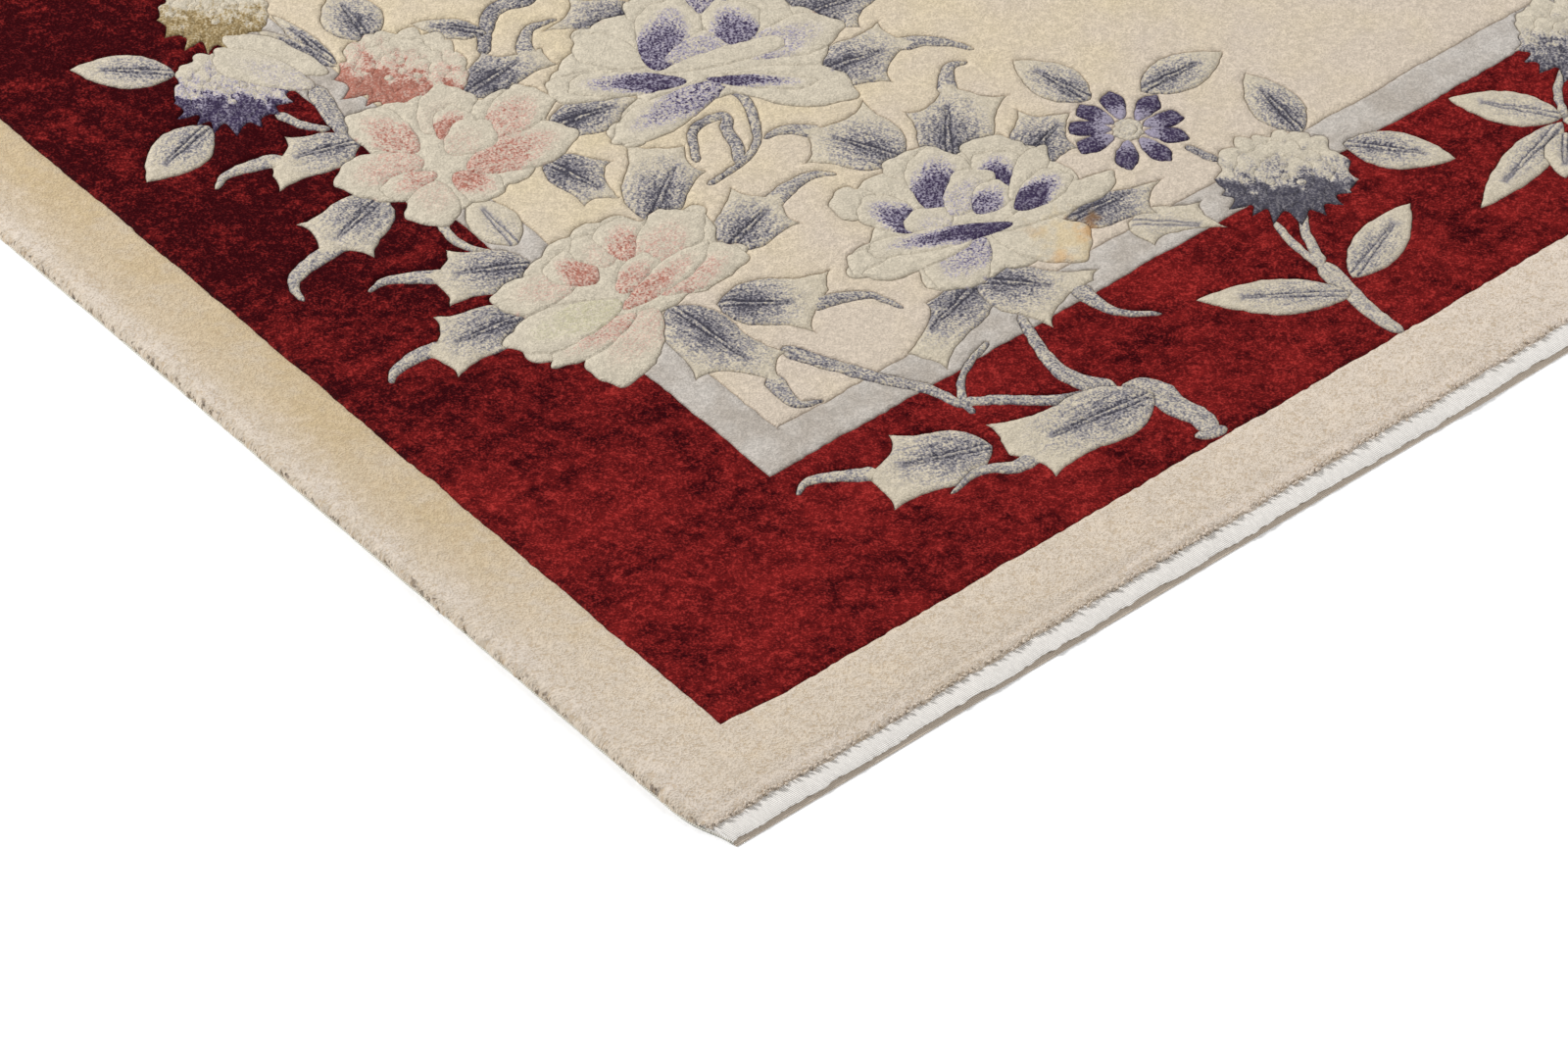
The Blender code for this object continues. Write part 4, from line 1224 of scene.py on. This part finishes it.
def grey_silk():
    """Silver grey, lighter towards the right."""
    material, shader, where = start_material("grey_band_silk")
    grain = grain_of(where)
    base = blend_colours(noise(where, 30, 3.0).step(0.3, 0.7), yarn(176, 167, 157), yarn(194, 187, 179))
    base = blend_colours(axis_of(where, "X").step(0.05, 0.5) * 0.7, base, yarn(204, 200, 197))
    colour = scaled(base, 0.78 + 0.36 * grain)
    finish_silk(shader, where, carved(where, colour), grain, 0.66, 0.5)
    return material


def field_silk():
    """Cream, more golden away from the short ends and in wide patches."""
    material, shader, where = start_material("cream_field_silk")
    grain, patches = grain_of(where), noise(where, 60, 3.0)
    _, in_from_end = from_edges(where)
    golden = (in_from_end.step(0.3, 0.75) * 0.6 + 1.4 * (patches - 0.5)).held()
    base = blend_colours(golden, yarn(205, 191, 174), yarn(211, 195, 162))
    colour = scaled(base, 0.8 + 0.34 * grain)
    finish_silk(shader, where, carved(where, colour, 0.4), grain, 0.66, 0.5)
    return material


MATERIALS = {"guard_border_pile": guard_silk(), "red_border_pile": red_silk(),
             "grey_band_pile": grey_silk(), "cream_field_pile": field_silk()}
print("finishes for", ", ".join(MATERIALS))

# %% [markdown]
# Inside the motifs two yarns are knotted side by side, more of the dark one where the
# shade is deep. So the shade isn't a smooth blend: each knot is one or the other, and the
# grain decides which. The stain on the lower purple flower is in the photograph too.


# %% Silk for leaves and flowers
# Each spot of the stain: its place and size in millimetres, its strength and its tint
STAIN_SPOTS = (((688, 352, 44), 0.34, (222, 190, 122)), ((703, 352, 17), 0.55, (206, 150, 84)),
               ((664, 341, 15), 0.4, (208, 156, 96)), ((668, 382, 12), 0.35, (186, 150, 104)),
               ((716, 361, 11), 0.6, (104, 68, 44)))


def motif_silk(name, crispness, gain):
    """The share of dark yarn is the shade, plus knots and long streaks that matter most where
    the yarns are evenly mixed. Its lower half blends pale to haze, its upper haze to dark."""
    material, shader, where = start_material(name)
    grain = grain_of(where)
    shade = attribute(where, "shade")
    knots = noise(leaning(where), 1.7, 2.0, (1, 1.3, 1)).step(0.25, 0.75)
    mixed = 0.5 + 3.0 * shade * (1.15 - shade)
    on_motif = {"X": attribute(where, "along"), "Y": attribute(where, "across")}
    streaks = noise(where.node("ShaderNodeCombineXYZ", {}, on_motif), 3.2, 2.0, (4.5, 1, 1)) - 0.5
    share = shade * crispness + (gain * (knots - 0.5) + 0.9 * streaks) * mixed * shade.step(0.0, 0.12)
    share = (share + 0.5 * attribute(where, "vein")).held()
    pale, haze, dark = (attribute(where, label, "Color") for label in ("pale", "haze", "dark"))
    colour = blend_colours(share * 2 - 1, blend_colours(share * 2, pale, haze), dark)
    patches = noise(where, 14, 3.0)
    colour = scaled(colour, 0.8 + 0.32 * grain + 0.24 * (patches - 0.5))
    smear = noise(where, 11, 3.0)
    for (x, y, size), strength, tint in STAIN_SPOTS:
        spot = tuple(place(x, y, GROUND))
        away = where.node("ShaderNodeVectorMath", {"operation": "DISTANCE"}, {0: where, 1: spot}, "Value")
        away = away + size * MM * 2.2 * (smear - 0.5)
        colour = blend_colours((1 - away.step(0.0, size * MM)) * strength, colour, yarn(*tint))
    lumps = grain + 1.8 * noise(where, 7, 2.0)
    finish_silk(shader, where, carved(where, colour, 0.45, (96, 84, 80)), lumps, 0.64, 0.5)
    return material


MATERIALS["leaf_and_stem_pile"] = motif_silk("leaf_silk", 0.9, 0.7)
MATERIALS["flower_pile"] = motif_silk("flower_silk", 0.86, 0.75)
PILE = [pile_piece(name, chosen, MATERIALS[name]) for name, chosen in PIECES.items()]

# %% [markdown]
# The foundation is the woven cloth that carries the pile. It shows only at the short ends,
# as a firm white web with a fine slanting rib, whose edge is folded under. One profile
# runs right round the cloth, and is carried across the rug's width.


# %% The woven foundation with its webs
FOUNDATION_STEP = 2.5      # between rows of points across the rug
WEB_LIFT = 2.4             # the web's edge stands this far clear of the floor


def closed_tube(count, around):
    """Triangles over a count of rings of points, with so many around each. The rings run
    anticlockwise as seen from outside the first one, so that every triangle faces out. Each
    ring is joined to the next by two triangles for each point, and a fan closes either end."""
    i, j = np.meshgrid(np.arange(count - 1), np.arange(around), indexing="ij")
    a, b = (i * around + j).ravel(), (i * around + (j + 1) % around).ravel()
    sides = [np.stack(corners, axis=1) for corners in ((a, a + around, b + around), (a, b + around, b))]
    fan = np.stack(np.broadcast_arrays(0, np.arange(1, around - 1), np.arange(2, around)), axis=1)
    return np.vstack((*sides, fan, fan[:, ::-1] + (count - 1) * around))


def cloth_profile():
    """Points (y, z, looseness) once round the cloth. Its backing lies flat and shows a little
    beyond the web. The web over it is thin at its edge and rises to the full thickness as one
    minus a decaying exponential."""
    y = np.array((1.0, 1.4, 2.2, 3.2, 5.0, 8.0, 12.0, 16.0, 20.0, 26.0))
    rise = 1.9 + (WEB_THICKNESS - 1.9) * (1 - np.exp(-(y - 1) / 6))
    web = np.stack((y, rise, np.clip(1 - y / 20, 0, 1)), axis=1)
    backing = [(2.5, 0.0, 0), (-1.9, 0.05, 0), (-2.1, 0.4, 0), (-1.6, 0.8, 0), (4.5, 0.9, 0), (4.2, 1.3, 0.6)]
    near = np.vstack((backing, [(1.3, 1.5, 0.95)], web, [(40, 3.0, 0)]))
    far = near[::-1] * (-1, 1, 1) + (LENGTH, 0, 0)
    return np.vstack((near, far))


def build_foundation(material):
    """The profile repeated across the width, with both ends closed. The loose part of the web
    frays at its edge and lifts off its backing."""
    profile = cloth_profile()
    across = np.linspace(0.6, WIDTH - 0.6, int(WIDTH / FOUNDATION_STEP))
    x, along = np.meshgrid(across, np.arange(len(profile)), indexing="ij")
    y, z, loose = profile[along, 0], profile[along, 1], profile[along, 2]
    fray = sum(size * soft_noise(x, y * 0, run, 11 + run) for run, size in ((38, 1.1), (9, 1.1), (3, 0.9)))
    y = y + loose ** 3 * (0.6 - fray) * np.sign(HALF - y)
    lift = WEB_LIFT * loose ** 1.5 * (0.6 + 0.4 * soft_noise(x, y * 0, 45, 12))
    flat = wander(pairs(x, y))
    points = place(*flat.T, (z + lift + 0.25 * loose * soft_noise(x, y, 9, 17)).ravel())
    return mesh_object("woven_foundation", points, closed_tube(len(across), len(profile)), material)


def ribs(run):
    """0 to 1 and back for each full turn of run: half of one plus its sine."""
    return run.maths("SINE", run) * 0.5 + 0.5


def web_cloth():
    """Off-white cotton with a fine slanting rib, taupe below 1.2 mm."""
    material, shader, where = start_material("white_web_cloth")
    x, y = plan_of(where)
    cloud = noise(where, 2.4, 3.0, (1, 3, 1))
    weave = (ribs(x * 3600 + y * 700) * 0.6 + ribs(y * 3900) * 0.4).held()
    colour = blend_colours(weave, yarn(196, 190, 182), yarn(250, 247, 243))
    colour = scaled(colour, 0.8 + 0.4 * cloud)
    colour = blend_colours(axis_of(where, "Z").step(0.0009, 0.0016), yarn(198, 184, 168), colour)
    finish_silk(shader, where, colour, weave, 0.8, 0.4)
    return material


foundation = build_foundation(web_cloth())
print("woven_foundation", len(foundation.data.polygons), "triangles")

# %% [markdown]
# Each long side ends in a few warps that are wrapped with thread, a thin hard cord. It
# could be a curve with a round bevel. A tube of six sides is worked out here instead, so
# that it strays sideways exactly as the pile beside it does.


# %% Side cords
CORD_STEP, CORD_AROUND = 6.0, 6    # millimetres between rings, and points in a ring


def build_cords(material):
    """An overcast cord along each long side: a six-sided tube whose middle wavers a little."""
    along = np.arange(2.0, LENGTH - 1.0, CORD_STEP)
    sweep, y = np.meshgrid(np.arange(CORD_AROUND) * np.pi / 3, along)
    left = pairs(0.2 + np.cos(sweep) + 0.3 * soft_noise(y, 0 * y, 15, 19), y)
    flat = both_halves(left)
    points = place(*flat.T, np.tile((0.9 + 0.85 * np.sin(sweep)).ravel(), 2))
    tube = closed_tube(len(along), CORD_AROUND)
    return mesh_object("side_cords", points, np.vstack((tube, tube + len(left))), material)


def cord_thread():
    """Pale grey thread, wound round the cord 2 mm apart."""
    material, shader, where = start_material("pale_cord_thread")
    x, y = plan_of(where)
    wound = ribs(y * 3100 + x * 900)
    colour = blend_colours(wound, yarn(186, 182, 170), yarn(222, 219, 208))
    finish_silk(shader, where, colour, wound, 0.8, 0.3)
    return material


cords = build_cords(cord_thread())
print("side_cords", len(cords.data.polygons), "triangles")

# %% [markdown]
# Along the rim the outermost knots have nothing beside them, so their cut ends fan out as
# small loose tufts. Blender's hair could do this, but it isn't a mesh. Thousands of tufts
# are one mesh here: a tapered tuft of nine points is copied to every place along the rim,
# and leaned outwards by its own amount. Those beside the webs lean and reach furthest.


# %% Loose tufts along the rim
TUFT_STEP = 1.6            # between tufts
WEB_LEAN, WEB_TALL = 2.0, 1.2    # tufts beside a web lean and stand this much more


def tuft_template():
    """A square foot, a wider square waist above it and one tip: points and triangles."""
    turn = np.arange(4) * np.pi / 2
    ring = np.stack((np.cos(turn), np.sin(turn), 0 * turn), axis=1)
    points = np.vstack((0.7 * ring, ring + (0, 0, 0.55), [(0, 0, 1)]))
    k = np.arange(4)
    n = (k + 1) % 4
    corners = (k, n, n + 4), (k, n + 4, k + 4), (k + 4, n + 4, np.full(4, 8))
    return points, np.vstack([np.stack(three, axis=1) for three in corners])


def rim_places(rng):
    """Feet of the tufts (x, y), and the way out of the rug at each, for the whole rim."""
    along = np.arange(WEB_REACH + 1, LENGTH - WEB_REACH - 1, TUFT_STEP)
    across = np.arange(1, WIDTH - 1, TUFT_STEP)
    rows = [(pairs(np.full(len(along), x), along), np.tile((way, 0.0), (len(along), 1)))
            for x, way in ((2.6, -1), (WIDTH - 2.6, 1))]
    rows += [(pairs(across, np.full(len(across), y)), np.tile((0.0, way), (len(across), 1)))
             for y, way in ((WEB_REACH + 2.2, -1), (LENGTH - WEB_REACH - 2.2, 1))]
    feet, ways = joined(rows)
    return feet + rng.normal(0, 1.1, feet.shape), ways


def build_tufts(material):
    """Each tuft is the template scaled, leaned outwards and set on its foot."""
    rng = np.random.default_rng(21)
    feet, ways = rim_places(rng)
    count = len(feet)
    shape, faces = tuft_template()
    thick, tall, lean = (rng.uniform(low, high, count)[:, None]
                         for low, high in ((0.9, 2.2), (1.8, 4.2), (-0.2, 0.5)))
    drift = rng.normal(0, 0.35, count)[:, None]
    on_web = np.abs(ways[:, 1:]) > 0.5
    lean = lean * np.where(on_web, WEB_LEAN, 1.0)
    rise = shape[None, :, 2] * tall * np.where(on_web, WEB_TALL, 1.0)
    sides = pairs(-ways[:, 1], ways[:, 0])
    x, y = (feet[:, k, None] + shape[None, :, k] * thick + ways[:, k, None] * lean * rise
            + sides[:, k, None] * drift * rise for k in (0, 1))
    foot = np.where(on_web, WEB_THICKNESS - 0.6, 0.8)
    foot = foot + rng.uniform(0, 1, count)[:, None] * np.where(on_web, 1, 4)
    points = place(*wander(pairs(x, y)).T, (foot + rise).ravel())
    triangles = (faces[None] + np.arange(count)[:, None, None] * len(shape)).reshape(-1, 3)
    piece = mesh_object("rim_tufts", points, triangles, material)
    # Painted shade at each tuft's root: its notch number falls from 0.4 at the foot to 0 at the tip, and the
    # guard silk darkens by it
    set_numbers(piece, "notch", np.tile(np.linspace(0.4, 0, len(shape)), count), "POINT")
    return piece


tufts = build_tufts(MATERIALS["guard_border_pile"])
print("rim_tufts", len(tufts.data.polygons), "triangles")

# %% [markdown]
# The floor is staging, not part of the rug. It lies a hair below the rug's underside, so
# that the two flat faces don't flicker, and its tone is almost even.


# %% Floor
FLOOR_REACH, FLOOR_HEIGHT = 9.0, -0.0003    # metres


def build_floor():
    """A pale sweep under the rug, well past what the camera sees."""
    mesh = bpy.data.meshes.new("floor")
    corners = [(x * FLOOR_REACH, y * FLOOR_REACH, FLOOR_HEIGHT)
               for x, y in ((-1, -1), (1, -1), (1, 1), (-1, 1))]
    mesh.from_pydata(corners, [], [(0, 1, 2, 3)])
    floor = bpy.data.objects.new("floor", mesh)
    bpy.context.collection.objects.link(floor)
    material, shader, where = start_material("pale_floor")
    tone = blend_colours(noise(where, 900, 2.0), yarn(252, 252, 252), yarn(254, 254, 254))
    where.tree.links.new(tone.socket, shader.inputs["Base Color"])
    shader.inputs["Roughness"].default_value = 0.9
    mesh.materials.append(material)
    return floor


build_floor()
print("floor", 2 * FLOOR_REACH, "m wide")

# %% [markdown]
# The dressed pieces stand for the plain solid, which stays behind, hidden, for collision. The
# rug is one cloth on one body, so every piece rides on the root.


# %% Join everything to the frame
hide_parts(RUG)
for piece in (foundation, cords, tufts, *PILE):
    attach(piece, "root")
